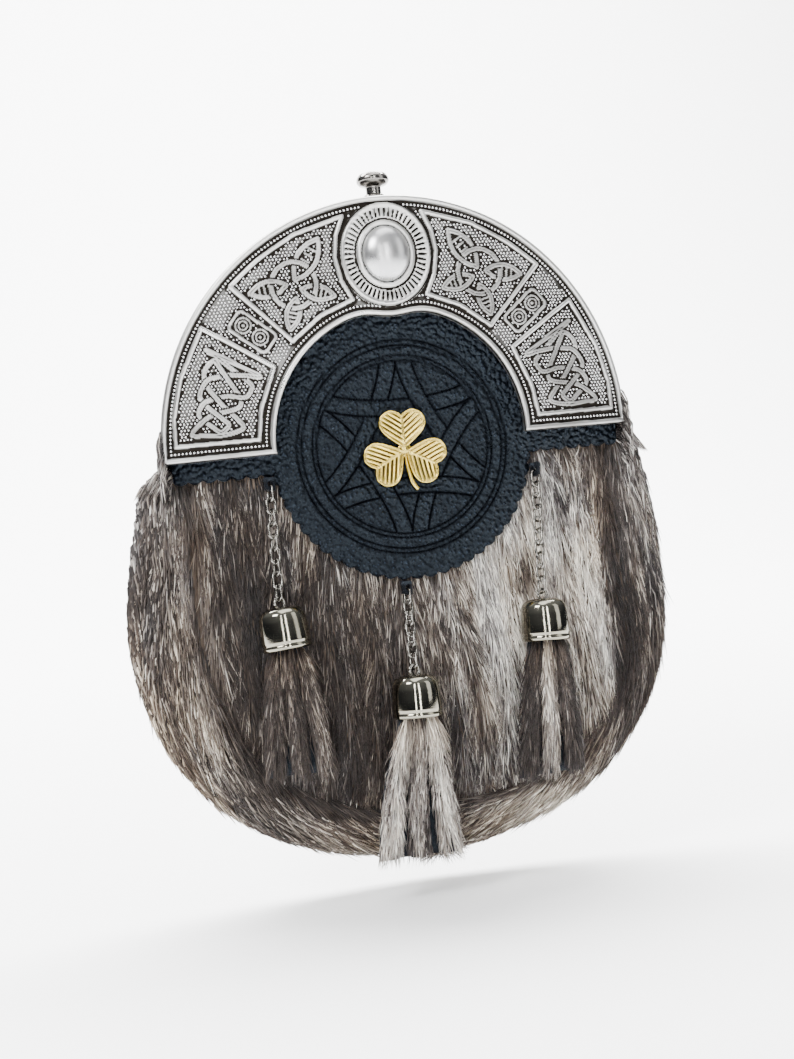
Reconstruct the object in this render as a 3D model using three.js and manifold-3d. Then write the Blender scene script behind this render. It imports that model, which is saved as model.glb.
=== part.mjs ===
// A full-dress sporran pouch: an arched cast cantle over a fur pouch, with three chained tassels.
// Millimetres. Every piece is drawn from the centre of the cantle's arc, on the cantle's front:
// +X to the viewer's right, +Y away from the viewer, +Z up. The whole is then moved so that the
// origin lies between the two loops on the back, where the strap runs.
import * as THREE from 'three';
import { mergeVertices } from 'three/addons/utils/BufferGeometryUtils.js';
import Module from 'manifold-3d';

const wasm = await Module();
wasm.setup();

// Driving sizes: the pouch as a whole
const faceBow = 0.0014;         // the face curves back by faceBow * x * x
const clearance = 0.3;          // gap between pieces that bear on each other
const seamGap = 0.45;           // gap along a sewn seam
const pouchDepth = 26;          // cantle's front to the outside of the back
const hide = 2;                 // hide under the fur
const backLeather = 2;
const apronLeather = 2;

// Driving sizes: cantle
const cantleRadius = 77.5;
const cantleBand = 36.5;
const cantleDrop = 2.3;         // the ends run this far below the arc's centre
const cantlePlate = 2.6;
const rimHeight = 1.2;          // rim above the ground of the plate
const reliefRoot = 0.5;         // every raised line is rooted this deep in the plate
const rimWidth = 1.9;
const frameRidge = 1.6;         // ridge round each panel
const frameInset = 5;           // panel frame inside the band's edges
const ridgeHeight = 0.9;
const knotWidth = 1.5;
const knotHeight = 0.7;
const medallionWidth = 29.4;
const medallionHeight = 33.4;
const medallionProud = 0.7;     // collar of the medallion above the rim
const medallionDrop = 0.7;      // its middle is this far under the middle of the band
const domeWidth = 15.4;
const domeHeight = 18;
const domeRise = 4.2;
const bumpDrop = 2.5;           // the inner edge dips this far under the medallion
const bumpWidth = 16;           // and over about this width

// Driving sizes: frame behind the cantle, and its catch
const frameWall = 1.5;
const stemRadius = 2.5;
const collarRadius = 3.8;
const collarHeight = 2.5;
const collarBevel = 0.6;
const knobRadius = 5.4;
const knobHead = 4.6;
const knobTravel = 2.6;
const stemTail = 0.5;           // stem inside the frame wall, at rest
const cupWall = 0.8;            // the collar goes on inward as a closed cup round the stem
const knobDepth = 12;           // behind the cantle's front

// Driving sizes: apron and badge
const tongueRadius = 42;
const tongueCentreZ = -3.5;
const stripEnd = 1;             // side strips end this far inside the cantle's rim
const bendPitch = 13;           // flat pieces are bent over the face in blocks of this width
const stripDrop = 8;            // side strips end this far below the arc's centre
const scallopPitch = 4.6;
const scallopDepth = 0.9;
const leafLength = 13.6;
const leafWidth = 14.6;
const badgePlate = 1.1;
const leafRim = 0.9;            // width of the raised rim and of the rib
const leafRimProud = 0.6;
const ribProud = 0.5;
const badgeRoot = 0.3;          // rims and ribs are rooted this far from the plate's back
const stalkWidth = 1.6;
const stalkLength = 13;
const stalkProud = 0.2;
const buttonRadius = 1.7;
const buttonProud = 1.2;
const badgeCentreZ = -4.7;

// Driving sizes: fur pouch
const seamInset = 7;            // front seam inside the cantle's outer edge
const pouchDrop = 118;          // arc centre to the bottom of the seam
const shoulderZ = -45;          // the sides are straight above this
const pouchTopZ = -6;
const mouthZ = 17;              // the front hide ends here, behind the apron
const bellyReach = 11;          // the belly stands this far ahead of the hide at the mouth
const gussetReach = 19;         // gusset outside the seam, without its fur
const lockLift = 2.6;           // tips of the fur locks above the hide
const lockWidth = 15;

// Driving sizes: back loops
const loopWidth = 20;
const loopHeight = 40;
const loopSpacing = 64;
const loopZ = 35;               // middle of the loops above the arc's centre
const strapGap = 5;
const loopLeather = 2;
const loopBend = 4;             // height in which a loop rises from the back
const loopFoot = 6;             // sewn foot above and below a loop

// Driving sizes: chains, bells and tassels
const wire = 0.95;
const linkLength = 6.5;
const linkWidth = 4.1;
const chainTwist = 25;          // degrees that every chain is turned from the face's plane
const linkPlay = 0.25;          // slack between neighbouring links
const bellRadius = 7.9;
const bellHeight = 13.6;
const bellWall = 0.9;
const bellLip = 0.35;
const lipHeight = 1.2;
const crownDrop = 0.4;          // the crown's edge under its middle
const crownWall = 2.3;
const bellTilt = 6;             // degrees, mouth towards the viewer
const eyeRadius = 1.7;          // middle of the eye's wire
const chainOff = 3.4;           // chain's middle ahead of the hide
const hangerWidth = 3.4;
const hangerTab = 1.2;
const hangerHole = 1.1;
const hangerRise = 1.2;
const tasselOff = 6.6;          // middle of the front strips ahead of the hide
const stripThick = 3.4;
const underOff = 3.6;           // the same for the strips under them
const underThick = 3;
const headFlare = 2;            // strips start this far above the bell's mouth

const colours = {
  silver: { color: 0xa9a8a3, roughness: 0.35, metalness: 0.9 },
  gunmetal: { color: 0x4a4743, roughness: 0.2, metalness: 1 },
  gold: { color: 0xd9a33c, roughness: 0.35, metalness: 1 },
  leather: { color: 0x1c2028, roughness: 0.6, metalness: 0 },
  fur: { color: 0x8f7c68, roughness: 0.9, metalness: 0 },
};

const group = new THREE.Group();
group.position.set(0, -pouchDepth - strapGap / 2, -loopZ);

// Depth of the bowed face at x
const bow = (x) => faceBow * x * x;

function add(name, colour, geometry) {
  const mesh = new THREE.Mesh(geometry, new THREE.MeshStandardMaterial(colours[colour]));
  mesh.name = name;
  group.add(mesh);
  return mesh;
}

// Bare positions with shared corners, faces pointing out
function tidy(geometry) {
  let bare = geometry.clone();
  bare.deleteAttribute('normal');
  bare.deleteAttribute('uv');
  bare = mergeVertices(bare, 1e-4);
  const at = bare.getAttribute('position');
  const faces = bare.index.array;
  const [a, b, c] = [new THREE.Vector3(), new THREE.Vector3(), new THREE.Vector3()];
  const kept = [];
  let volume = 0;
  for (let i = 0; i < faces.length; i += 3) {
    const [p, q, r] = [faces[i], faces[i + 1], faces[i + 2]];
    if (p === q || q === r || r === p) continue;
    kept.push(p, q, r);
    a.fromBufferAttribute(at, p);
    b.fromBufferAttribute(at, q);
    c.fromBufferAttribute(at, r);
    volume += a.dot(b.cross(c));
  }
  bare.setIndex(volume < 0 ? kept.reverse() : kept);
  return bare;
}

function toSolid(geometry) {
  const bare = tidy(geometry);
  return new wasm.Manifold(new wasm.Mesh({
    numProp: 3,
    vertProperties: Float32Array.from(bare.getAttribute('position').array),
    triVerts: Uint32Array.from(bare.index.array),
  }));
}

function toGeometry(solid) {
  const mesh = solid.getMesh();
  const geometry = new THREE.BufferGeometry();
  geometry.setAttribute('position', new THREE.BufferAttribute(Float32Array.from(mesh.vertProperties), 3));
  geometry.setIndex(Array.from(mesh.triVerts));
  return geometry;
}

function fuse(geometries) {
  return toGeometry(geometries.map(toSolid).reduce((whole, piece) => whole.add(piece)));
}

function cut(geometry, tools) {
  return toGeometry(tools.map(toSolid).reduce((whole, tool) => whole.subtract(tool), toSolid(geometry)));
}

function moved(geometry, x, y, z) {
  return geometry.clone().translate(x, y, z);
}

function warp(geometry, change) {
  const bent = geometry.clone();
  const at = bent.getAttribute('position');
  const point = new THREE.Vector3();
  for (let i = 0; i < at.count; i++) {
    change(point.fromBufferAttribute(at, i));
    at.setXYZ(i, point.x, point.y, point.z);
  }
  return bent;
}

const bowed = (geometry) => warp(geometry, (p) => { p.y += bow(p.x); });

// A closed slab between two grids of points: front(u, v) and back(u, v), u and v from 0 to 1
function slab(columns, rows, front, back) {
  const points = [];
  const faces = [];
  for (const side of [front, back]) {
    for (let j = 0; j <= rows; j++) {
      for (let i = 0; i <= columns; i++) points.push(...side(i / columns, j / rows));
    }
  }
  const far = (columns + 1) * (rows + 1);
  const at = (i, j) => j * (columns + 1) + i;
  const quad = (a, b, c, d) => faces.push(a, b, c, a, c, d);
  for (let j = 0; j < rows; j++) {
    for (let i = 0; i < columns; i++) {
      quad(at(i, j), at(i + 1, j), at(i + 1, j + 1), at(i, j + 1));
      quad(far + at(i, j), far + at(i, j + 1), far + at(i + 1, j + 1), far + at(i + 1, j));
    }
  }
  for (let i = 0; i < columns; i++) {
    quad(at(i, 0), far + at(i, 0), far + at(i + 1, 0), at(i + 1, 0));
    quad(at(i + 1, rows), far + at(i + 1, rows), far + at(i, rows), at(i, rows));
  }
  for (let j = 0; j < rows; j++) {
    quad(at(0, j + 1), far + at(0, j + 1), far + at(0, j), at(0, j));
    quad(at(columns, j), far + at(columns, j), far + at(columns, j + 1), at(columns, j + 1));
  }
  const geometry = new THREE.BufferGeometry();
  geometry.setAttribute('position', new THREE.Float32BufferAttribute(points, 3));
  geometry.setIndex(faces);
  return geometry;
}

// A ridge of square section along plan points [x, z], mitred at its corners
function ridge(points, width, front, back, closed) {
  const count = points.length;
  const edge = (i, side) => {
    const here = points[(i + count) % count];
    const before = !closed && i === 0 ? null : points[(i - 1 + count) % count];
    const after = !closed && i === count - 1 ? null : points[(i + 1) % count];
    const into = before ? unit(here[0] - before[0], here[1] - before[1]) : null;
    const out = after ? unit(after[0] - here[0], after[1] - here[1]) : null;
    const a = into ?? out;
    const b = out ?? into;
    const miter = unit(-a[1] - b[1], a[0] + b[0]);
    const reach = (side * width) / 2 / Math.max(0.5, miter[0] * -a[1] + miter[1] * a[0]);
    return [here[0] + miter[0] * reach, here[1] + miter[1] * reach];
  };
  const pieces = closed ? count : count - 1;
  const points3 = [];
  const faces = [];
  for (let i = 0; i < count; i++) {
    const [x0, z0] = edge(i, -1);
    const [x1, z1] = edge(i, 1);
    points3.push(x0, front, z0, x1, front, z1, x1, back, z1, x0, back, z0);
  }
  const quad = (a, b, c, d) => faces.push(a, b, c, a, c, d);
  for (let i = 0; i < pieces; i++) {
    const p = 4 * i;
    const q = 4 * ((i + 1) % count);
    for (let k = 0; k < 4; k++) quad(p + k, p + (k + 1) % 4, q + (k + 1) % 4, q + k);
  }
  if (!closed) {
    const last = 4 * (count - 1);
    quad(3, 2, 1, 0);
    quad(last, last + 1, last + 2, last + 3);
  }
  const geometry = new THREE.BufferGeometry();
  geometry.setAttribute('position', new THREE.Float32BufferAttribute(points3, 3));
  geometry.setIndex(faces);
  return bowed(geometry);
}

function unit(x, z) {
  const length = Math.hypot(x, z) || 1;
  return [x / length, z / length];
}

const polar = (radius, degrees) => {
  const turn = THREE.MathUtils.degToRad(degrees);
  return [radius * Math.cos(turn), radius * Math.sin(turn)];
};

function steps(count, make) {
  return Array.from({ length: count + 1 }, (_, i) => make(i / count));
}

const mix = THREE.MathUtils.lerp;

const innerRadius = cantleRadius - cantleBand;
const medallionZ = cantleRadius - cantleBand / 2 - medallionDrop;
const pouchHalfWidth = cantleRadius - seamInset;
const ground = rimHeight;
const plateBack = rimHeight + cantlePlate;
const apronFront = plateBack + clearance;
const apronBack = apronFront + apronLeather;
const backInside = pouchDepth - backLeather;
const cupBore = stemRadius + clearance;
const stemFoot = -frameWall - stemTail;

// Part of the arch between two radii; its ends are cut level, dropped below the arc's centre
function archBand(inner, outer, front, back, columns, rows, dip = 0) {
  const place = (depth) => (u, v) => {
    const radius = mix(inner, outer, v);
    const end = THREE.MathUtils.radToDeg(Math.asin(cantleDrop / radius));
    const [x, z] = polar(radius, mix(180 + end, -end, u));
    const dropped = z - dip * (1 - v) * Math.exp(-((2 * x / bumpWidth) ** 2));
    return [x, depth + bow(x), dropped];
  };
  return slab(columns, rows, place(front), place(back));
}

// The corners of a panel frame follow the band's edges by arcs and its ends by straight lines
function panelFrame(corners, side) {
  const outer = cantleRadius - frameInset + frameRidge / 2;
  const inner = innerRadius + frameInset + frameRidge / 2;
  const along = (radius, from, to, count) => steps(count, (t) => polar(radius, mix(from, to, t)));
  const outline = [
    ...along(outer, corners.outerLow, corners.outerHigh, 3),
    ...along(inner, corners.innerHigh, corners.innerLow, 2),
  ];
  return outline.map(([x, z]) => [x * side, z]);
}

// Corner angles of the two panels on each side, in degrees above the arc's centre
const panels = [
  { outerLow: 2.6, outerHigh: 33.4, innerHigh: 32.2, innerLow: 3.8 },
  { outerLow: 46.4, outerHigh: 79.4, innerHigh: 73.6, innerLow: 45.6 },
];

// A point of the cantle's face: share of the band from its inner edge, and degrees round the arc
function inBand(share, degrees, side) {
  const [x, z] = polar(innerRadius + cantleBand * share, degrees);
  return [x * side, z];
}

// A plait along the arc, closed by a band to each corner of its panel
const plait = { from: 9, to: 29, middle: 0.52, swing: 0.155, turns: 1.25 };

function plaitStrand(phase, side) {
  return steps(8, (t) => {
    const swing = Math.sin(2 * Math.PI * (plait.turns * t + phase));
    return inBand(plait.middle + plait.swing * swing, mix(plait.from, plait.to, t), side);
  });
}

// Bands that close the plait, as [share of the band, degrees]
const plaitEnds = [
  { tip: [0.21, 6.4], bend: [0.5, 5.6], end: [0.8, 4.9] },
  { tip: [0.26, 29], bend: [0.5, 31], end: [0.79, 30.4] },
];

const plaitEnd = (row, side) => [row.tip, row.bend, row.end].map(
  ([share, degrees]) => inBand(share, degrees, side));

// Four pointed leaves about the middle of the upper panel
const cross = { degrees: 60.5, share: 0.49, leaf: 0.43, leafHalf: 0.1, leafStart: 0.04 };
const crossTurns = [15, 105, 195, 285];

function crossLeaf(turn, side) {
  const [cx, cz] = inBand(cross.share, cross.degrees, 1);
  const length = cantleBand * cross.leaf;
  const half = cantleBand * cross.leafHalf;
  return steps(5, (t) => t).slice(0, -1).map((t) => {
    const along = length * mix(cross.leafStart, 1, Math.sin(Math.PI * t));
    const across = half * Math.sin(2 * Math.PI * t);
    const angle = THREE.MathUtils.degToRad(turn);
    const x = cx + along * Math.cos(angle) - across * Math.sin(angle);
    return [x * side, cz + along * Math.sin(angle) + across * Math.cos(angle)];
  });
}

// Between the panels: a tablet by its corners, with two round bosses, as shares and degrees
const tablet = [[0.26, 43.6], [0.68, 42.2], [0.68, 37.4], [0.26, 35.8]];
const bosses = { shares: [0.38, 0.56], degrees: 39.7, radius: 0.066 };

const ellipse = (width, height, count) => steps(count, (t) => [
  (width / 2) * Math.cos(2 * Math.PI * t),
  medallionZ + (height / 2) * Math.sin(2 * Math.PI * t),
]).slice(0, -1);

// Ovals of the medallion: the collar outside its fluted ring, and the one round the dome's seat
const collars = [
  { share: 0.965, width: 1.1 },
  { share: 0.64, width: 2.2 },
];

// A disc standing out of the plate, its round face forward
function boss(radius, sides, front, back, [x, z]) {
  const disc = new THREE.CylinderGeometry(radius, radius, back - front, sides);
  return bowed(moved(disc, x, (front + back) / 2, z));
}

// A dome of the given half-axes and rise over an oval, closed at its back
function ovalDome(halfWidth, halfHeight, rise, back, rings, sides) {
  const profile = steps(rings, (t) => new THREE.Vector2(
    Math.sin((Math.PI / 2) * t),
    -rise * Math.cos((Math.PI / 2) * t),
  ));
  profile.push(new THREE.Vector2(1, back), new THREE.Vector2(0, back));
  const dome = new THREE.LatheGeometry(profile, sides);
  return warp(dome, (p) => { p.x *= halfWidth; p.z *= halfHeight; });
}

function buildCantle() {
  const sunk = ground + reliefRoot;
  const endBar = (side) => [
    [side * (innerRadius + rimWidth / 2), rimWidth / 2 - cantleDrop],
    [side * (innerRadius + cantleBand / 2), rimWidth / 2 - cantleDrop],
    [side * (cantleRadius - rimWidth / 2), rimWidth / 2 - cantleDrop],
  ];
  const pieces = [
    archBand(innerRadius, cantleRadius, ground, plateBack, 20, 2, bumpDrop),
    archBand(cantleRadius - rimWidth, cantleRadius, 0, sunk, 20, 1),
    archBand(innerRadius, innerRadius + rimWidth, 0, sunk, 20, 1, bumpDrop),
  ];
  for (const side of [-1, 1]) {
    pieces.push(ridge(endBar(side), rimWidth, 0, sunk, false));
    for (const corners of panels) {
      pieces.push(ridge(panelFrame(corners, side), frameRidge, ground - ridgeHeight, sunk, true));
    }
    for (const phase of [0, 0.5]) {
      pieces.push(ridge(plaitStrand(phase, side), knotWidth, ground - knotHeight, sunk, false));
    }
    for (const row of plaitEnds) {
      pieces.push(ridge(plaitEnd(row, side), knotWidth, ground - knotHeight, sunk, false));
    }
    for (const turn of crossTurns) {
      pieces.push(ridge(crossLeaf(turn, side), knotWidth, ground - knotHeight, sunk, true));
    }
    for (const share of bosses.shares) {
      const middle = inBand(share, bosses.degrees, side);
      pieces.push(boss(cantleBand * bosses.radius, 8, ground - knotHeight, sunk, middle));
    }
    const corners = tablet.map(([share, degrees]) => inBand(share, degrees, side));
    pieces.push(ridge(corners, frameRidge / 2, ground - knotHeight, sunk, true));
  }
  for (const row of collars) {
    const oval = ellipse(medallionWidth * row.share, medallionHeight * row.share, 16);
    pieces.push(ridge(oval, row.width, -medallionProud, sunk, true));
  }
  return fuse(pieces);
}

add('cantle', 'silver', buildCantle());
add('medallion_dome', 'silver', bowed(moved(
  ovalDome(domeWidth / 2, domeHeight / 2, domeRise, ground - clearance, 4, 16), 0, 0, medallionZ)));

// The flat frame wall behind the cantle, from the apron back to the back panel
function buildBackFrame() {
  const outer = cantleRadius - clearance;
  const place = (radius) => (u, v) => {
    const end = THREE.MathUtils.radToDeg(Math.asin((-pouchTopZ - clearance) / radius));
    const [x, z] = polar(radius, mix(180 + end, -end, u));
    return [x, mix(apronBack + clearance + bow(x), backInside - clearance, v), z];
  };
  const arch = slab(20, 1, place(outer - frameWall), place(outer));
  const hole = cupBore + cupWall + clearance;
  const bore = new THREE.CylinderGeometry(hole, hole, 4 * frameWall, 12).rotateX(Math.PI / 2);
  return cut(arch, [moved(bore, 0, knobDepth, cantleRadius - frameWall / 2)]);
}

function lathe(rows, sides) {
  const turned = new THREE.LatheGeometry(rows.map(([r, h]) => new THREE.Vector2(r, h)), sides);
  return turned.rotateX(Math.PI / 2);
}

// The collar on top of the frame, and the cup inside it that the stem slides in
function buildCollar() {
  const floor = stemFoot - knobTravel - clearance;
  const rows = [
    [0, floor - cupWall], [cupBore + cupWall, floor - cupWall], [cupBore + cupWall, 0],
    [collarRadius, 0], [collarRadius, collarHeight * 0.6],
    [collarRadius - collarBevel, collarHeight], [cupBore, collarHeight], [cupBore, floor], [0, floor],
  ];
  return tidy(moved(lathe(rows, 12), 0, knobDepth, cantleRadius));
}

function buildKnob() {
  const under = collarHeight + clearance + knobTravel;
  const rows = [
    [0, stemFoot], [stemRadius, stemFoot], [stemRadius, under],
    [knobRadius * 0.85, under + knobHead * 0.1], [knobRadius, under + knobHead * 0.4],
    [knobRadius * 0.8, under + knobHead * 0.85], [0, under + knobHead],
  ];
  return tidy(moved(lathe(rows, 16), 0, knobDepth, cantleRadius));
}

// The apron's outline, clockwise from the left strip, with a scalloped lower edge
function apronOutline() {
  const edge = cantleRadius - rimWidth;
  const start = edge - stripEnd;
  const meet = Math.sqrt(tongueRadius ** 2 - (stripDrop + tongueCentreZ) ** 2);
  const meetTurn = Math.asin((stripDrop + tongueCentreZ) / tongueRadius);
  const strip = start - meet;
  const arc = tongueRadius * (Math.PI - 2 * meetTurn);
  const lower = [];
  const stripSteps = 2 * Math.round(strip / scallopPitch);
  for (let i = 0; i <= stripSteps; i++) {
    const t = i / stripSteps;
    const wave = i % 2 ? scallopDepth : 0;
    lower.push([-start + strip * t, -stripDrop - wave]);
  }
  const arcSteps = 2 * Math.round(arc / scallopPitch);
  for (let i = 1; i < arcSteps; i++) {
    const turn = Math.PI + meetTurn + ((Math.PI - 2 * meetTurn) * i) / arcSteps;
    const radius = tongueRadius + (i % 2 ? scallopDepth : 0);
    lower.push([radius * Math.cos(turn), tongueCentreZ + radius * Math.sin(turn)]);
  }
  for (let i = stripSteps; i >= 0; i--) {
    const [x, z] = lower[i];
    lower.push([-x, z]);
  }
  const upper = steps(16, (t) => polar(edge, mix(2, 178, t)));
  return [...lower, ...upper];
}

const onFace = (geometry) => warp(geometry, (p) => { p.y += bow(p.x) - bellyForward(p.z); });

// Cut a solid into slices by planes across an axis
function slices(solid, axis, cuts) {
  const parts = [];
  let rest = solid;
  for (const at of cuts) {
    const [above, below] = rest.splitByPlane(axis, at);
    parts.push(below);
    rest = above;
  }
  return [...parts, rest].filter((part) => !part.isEmpty());
}

// Cut a flat piece into blocks, lay each on the face, and join them: the piece follows the face
function layOnFace(geometry) {
  const count = 2 * Math.round(cantleRadius / bendPitch);
  const across = steps(count, (t) => mix(-cantleRadius, cantleRadius, t)).slice(1, -1);
  const blocks = slices(toSolid(geometry), [0, 0, 1], [pouchTopZ])
    .flatMap((level) => slices(level, [1, 0, 0], across));
  return fuse(blocks.map((block) => onFace(toGeometry(block))));
}

function plate(outline, front, back) {
  const shape = new THREE.Shape(outline.map(([x, z]) => new THREE.Vector2(x, z)));
  const flat = new THREE.ExtrudeGeometry(shape, { depth: back - front, bevelEnabled: false });
  return flat.rotateX(Math.PI / 2).scale(1, -1, 1).translate(0, front, 0);
}

const buildApron = () => layOnFace(plate(apronOutline(), apronFront, apronBack));

// One heart-shaped leaf pointing up from the badge's button, notched at its outer end
function leafOutline() {
  const rows = [
    { along: 0.04, across: 0.06 }, { along: 0.5, across: 0.46 },
    { along: 0.8, across: 0.48 }, { along: 0.97, across: 0.27 }, { along: 0.88, across: 0 },
  ];
  const right = rows.map((row) => [row.across * leafWidth, row.along * leafLength]);
  const left = right.slice(0, -1).reverse().map(([x, z]) => [-x, z]);
  return [...right, ...left];
}

function turned(outline, degrees) {
  const turn = THREE.MathUtils.degToRad(degrees);
  return outline.map(([x, z]) => [
    x * Math.cos(turn) - z * Math.sin(turn),
    x * Math.sin(turn) + z * Math.cos(turn) + badgeCentreZ,
  ]);
}

const leafTurns = [0, 118, -118];

// The stalk curves to the viewer's right, as shares of its length
const stalkRows = [{ across: 0, down: 0.08 }, { across: 0.06, down: 0.54 }, { across: 0.23, down: 1 }];

function buildBadge() {
  const back = apronFront - clearance;
  const front = back - badgePlate;
  const pieces = [];
  for (const turn of leafTurns) {
    const outline = turned(leafOutline(), turn);
    pieces.push(plate(outline, front, back));
    pieces.push(ridge(outline, leafRim, front - leafRimProud, back - badgeRoot, true));
    const rib = turned([[0, buttonRadius / 2], [0, leafLength * 0.86]], turn);
    pieces.push(ridge(rib, leafRim, front - ribProud, back - badgeRoot, false));
  }
  const stalk = stalkRows.map((row) => [row.across * stalkLength, badgeCentreZ - row.down * stalkLength]);
  pieces.push(ridge(stalk, stalkWidth, front - stalkProud, back, false));
  pieces.push(boss(buttonRadius, 10, front - buttonProud, back, [0, badgeCentreZ]));
  return warp(fuse(pieces), (p) => { p.y -= bellyForward(p.z); });
}

// The seam round the front of the pouch: straight sides, then a full rounded bottom
const seamPower = 2.46;
const seamSteps = 28;
const lockRows = 4;
const lockMargin = 0.6;         // rows of the front that stay without roots
const lockStart = 0.4;
const lockRun = 1.1;            // a lock's length, in rows
const lockGap = 1.3;            // from the tongue's edge to the nearest root
const lockSpread = 1.7;         // pitch of the locks in a row, in lock widths
const seamLow = pouchDrop + shoulderZ;

function seamPoint(t) {
  const turn = Math.PI * t;
  const x = -pouchHalfWidth * Math.sign(Math.cos(turn)) * Math.abs(Math.cos(turn)) ** (2 / seamPower);
  return [x, shoulderZ - seamLow * Math.sin(turn) ** (2 / seamPower)];
}

// Stations along the seam, evenly spaced, from the top left round the bottom to the top right
function seamStations(count) {
  const dense = [
    [-pouchHalfWidth, pouchTopZ],
    ...steps(200, seamPoint),
    [pouchHalfWidth, pouchTopZ],
  ];
  const travelled = [0];
  for (let i = 1; i < dense.length; i++) {
    const [dx, dz] = [dense[i][0] - dense[i - 1][0], dense[i][1] - dense[i - 1][1]];
    travelled.push(travelled[i - 1] + Math.hypot(dx, dz));
  }
  const total = travelled.at(-1);
  return steps(count, (t) => {
    const i = Math.max(1, travelled.findIndex((d) => d >= t * total - 1e-9));
    const part = (t * total - travelled[i - 1]) / (travelled[i] - travelled[i - 1]);
    return [mix(dense[i - 1][0], dense[i][0], part), mix(dense[i - 1][1], dense[i][1], part)];
  });
}

// How far the belly reaches forward, as shares of bellyReach, down from the pouch's top to its foot
const bellyRows = [
  { down: 0, forward: 0 }, { down: 0.45, forward: 0.36 }, { down: 0.56, forward: 0.82 },
  { down: 0.66, forward: 1 }, { down: 0.8, forward: 1 }, { down: 0.92, forward: 0.8 },
  { down: 1, forward: 0.5 },
];

function bellyForward(z) {
  const down = THREE.MathUtils.clamp((pouchTopZ - z) / (pouchDrop + pouchTopZ), 0, 1);
  const i = Math.max(1, bellyRows.findIndex((row) => row.down >= down));
  const [above, below] = [bellyRows[i - 1], bellyRows[i]];
  const part = (down - above.down) / (below.down - above.down);
  return bellyReach * mix(above.forward, below.forward, part);
}

// Depth of the hide's outer face on the front of the pouch
const frontDepth = (x, z) => apronBack + clearance + bow(x) - bellyForward(z);

// Heights of a lock's points off the hide, as shares of its thickness
const lockForm = { shoulder: 0.45, root: -0.45, edge: -0.3, crown: 0.5, sole: -0.7 };

// A tapered lock of fur: it springs from the hide at root and lies along to its tip
function lock(root, tip, out, width, thick) {
  const along = tip.clone().sub(root);
  const side = along.clone().cross(out).normalize().multiplyScalar(width / 2);
  const shoulder = root.clone().addScaledVector(along, lockForm.shoulder);
  const points = [
    root.clone().addScaledVector(out, thick * lockForm.root), tip,
    shoulder.clone().add(side).addScaledVector(out, thick * lockForm.edge),
    shoulder.clone().addScaledVector(out, thick * lockForm.crown),
    shoulder.clone().sub(side).addScaledVector(out, thick * lockForm.edge),
    shoulder.clone().addScaledVector(out, thick * lockForm.sole),
  ];
  const faces = [0, 2, 3, 0, 3, 4, 0, 4, 5, 0, 5, 2, 1, 3, 2, 1, 4, 3, 1, 5, 4, 1, 2, 5];
  const geometry = new THREE.BufferGeometry();
  const places = points.flatMap((p) => p.toArray());
  geometry.setAttribute('position', new THREE.Float32BufferAttribute(places, 3));
  geometry.setIndex(faces);
  return geometry;
}

// The front hide's half width at each level: the seam's own stations, with the hide's top above
function frontLevels() {
  const stations = seamStations(seamSteps).slice(0, seamSteps / 2);
  const below = stations.map(([x, z], i) => {
    const next = stations[i + 1] ?? [0, -pouchDrop];
    const [nx, nz] = unit(next[1] - z, x - next[0]);
    return [-x - Math.abs(nx) * seamGap, z + Math.abs(nz) * seamGap];
  });
  const half = pouchHalfWidth - seamGap;
  return [[half, mouthZ], ...below];
}

function buildFurFront() {
  const levels = frontLevels();
  const rows = levels.length - 1;
  const face = (depth) => (u, v) => {
    const [half, z] = levels[Math.round(v * rows)];
    const x = mix(-1, 1, u) * half;
    return [x, frontDepth(x, z) + depth, z];
  };
  const pieces = [slab(8, rows, face(0), face(hide))];
  const halfWidth = (z) => {
    const low = Math.max(0, (shoulderZ - z) / seamLow);
    return pouchHalfWidth * Math.max(0, 1 - low ** seamPower) ** (1 / seamPower);
  };
  for (let row = 0; row < lockRows; row++) {
    const level = (rows) => mix(pouchTopZ, -pouchDrop, rows / (lockRows + lockMargin));
    const z = level(row + lockStart);
    const foot = level(row + lockStart + lockRun);
    const reach = halfWidth(foot) - lockWidth / 2;
    const count = Math.max(1, Math.round((2 * reach) / (lockWidth * lockSpread)));
    for (let i = row % 2 ? 0.5 : 0; i <= count; i++) {
      const x = mix(-reach, reach, i / count);
      if (Math.hypot(x, z - tongueCentreZ) < tongueRadius + scallopDepth + lockGap) continue;
      const root = new THREE.Vector3(x, frontDepth(x, z), z);
      const tip = new THREE.Vector3(x, frontDepth(x, foot) - lockLift * 0.5, foot);
      pieces.push(lock(root, tip, new THREE.Vector3(0, -1, 0), lockWidth, lockLift));
    }
  }
  return fuse(pieces);
}

// How far the gusset stands outside the seam, as shares of gussetReach, from top to foot
const gussetRows = [
  { along: 0, reach: 0.4 }, { along: 0.06, reach: 0.62 }, { along: 0.14, reach: 0.92 },
  { along: 0.24, reach: 1 }, { along: 0.38, reach: 0.98 }, { along: 0.5, reach: 0.96 },
];

function gussetOut(t) {
  const along = Math.min(t, 1 - t);
  const i = Math.max(1, gussetRows.findIndex((row) => row.along >= along - 1e-9));
  const [above, below] = [gussetRows[i - 1], gussetRows[i]];
  return gussetReach * mix(above.reach, below.reach, (along - above.along) / (below.along - above.along));
}

// A point on the gusset: t along the seam, v from its front edge to its back edge
function gussetPoint(stations, t, v, inset) {
  const last = stations.length - 1;
  const i = Math.round(t * last);
  const before = stations[Math.max(0, i - 1)];
  const after = stations[Math.min(last, i + 1)];
  const away = unit(after[1] - before[1], before[0] - after[0]);
  const [x, z] = stations[i];
  const front = frontDepth(x, z) + inset;
  const back = pouchDepth - inset;
  const out = Math.max(0, gussetOut(t) - inset) * Math.sin(Math.PI * v);
  return [
    x + away[0] * out,
    mix(front, back, 0.5 - 0.5 * Math.cos(Math.PI * v)),
    i === 0 || i === last ? z : z + away[1] * out,
  ];
}

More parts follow.
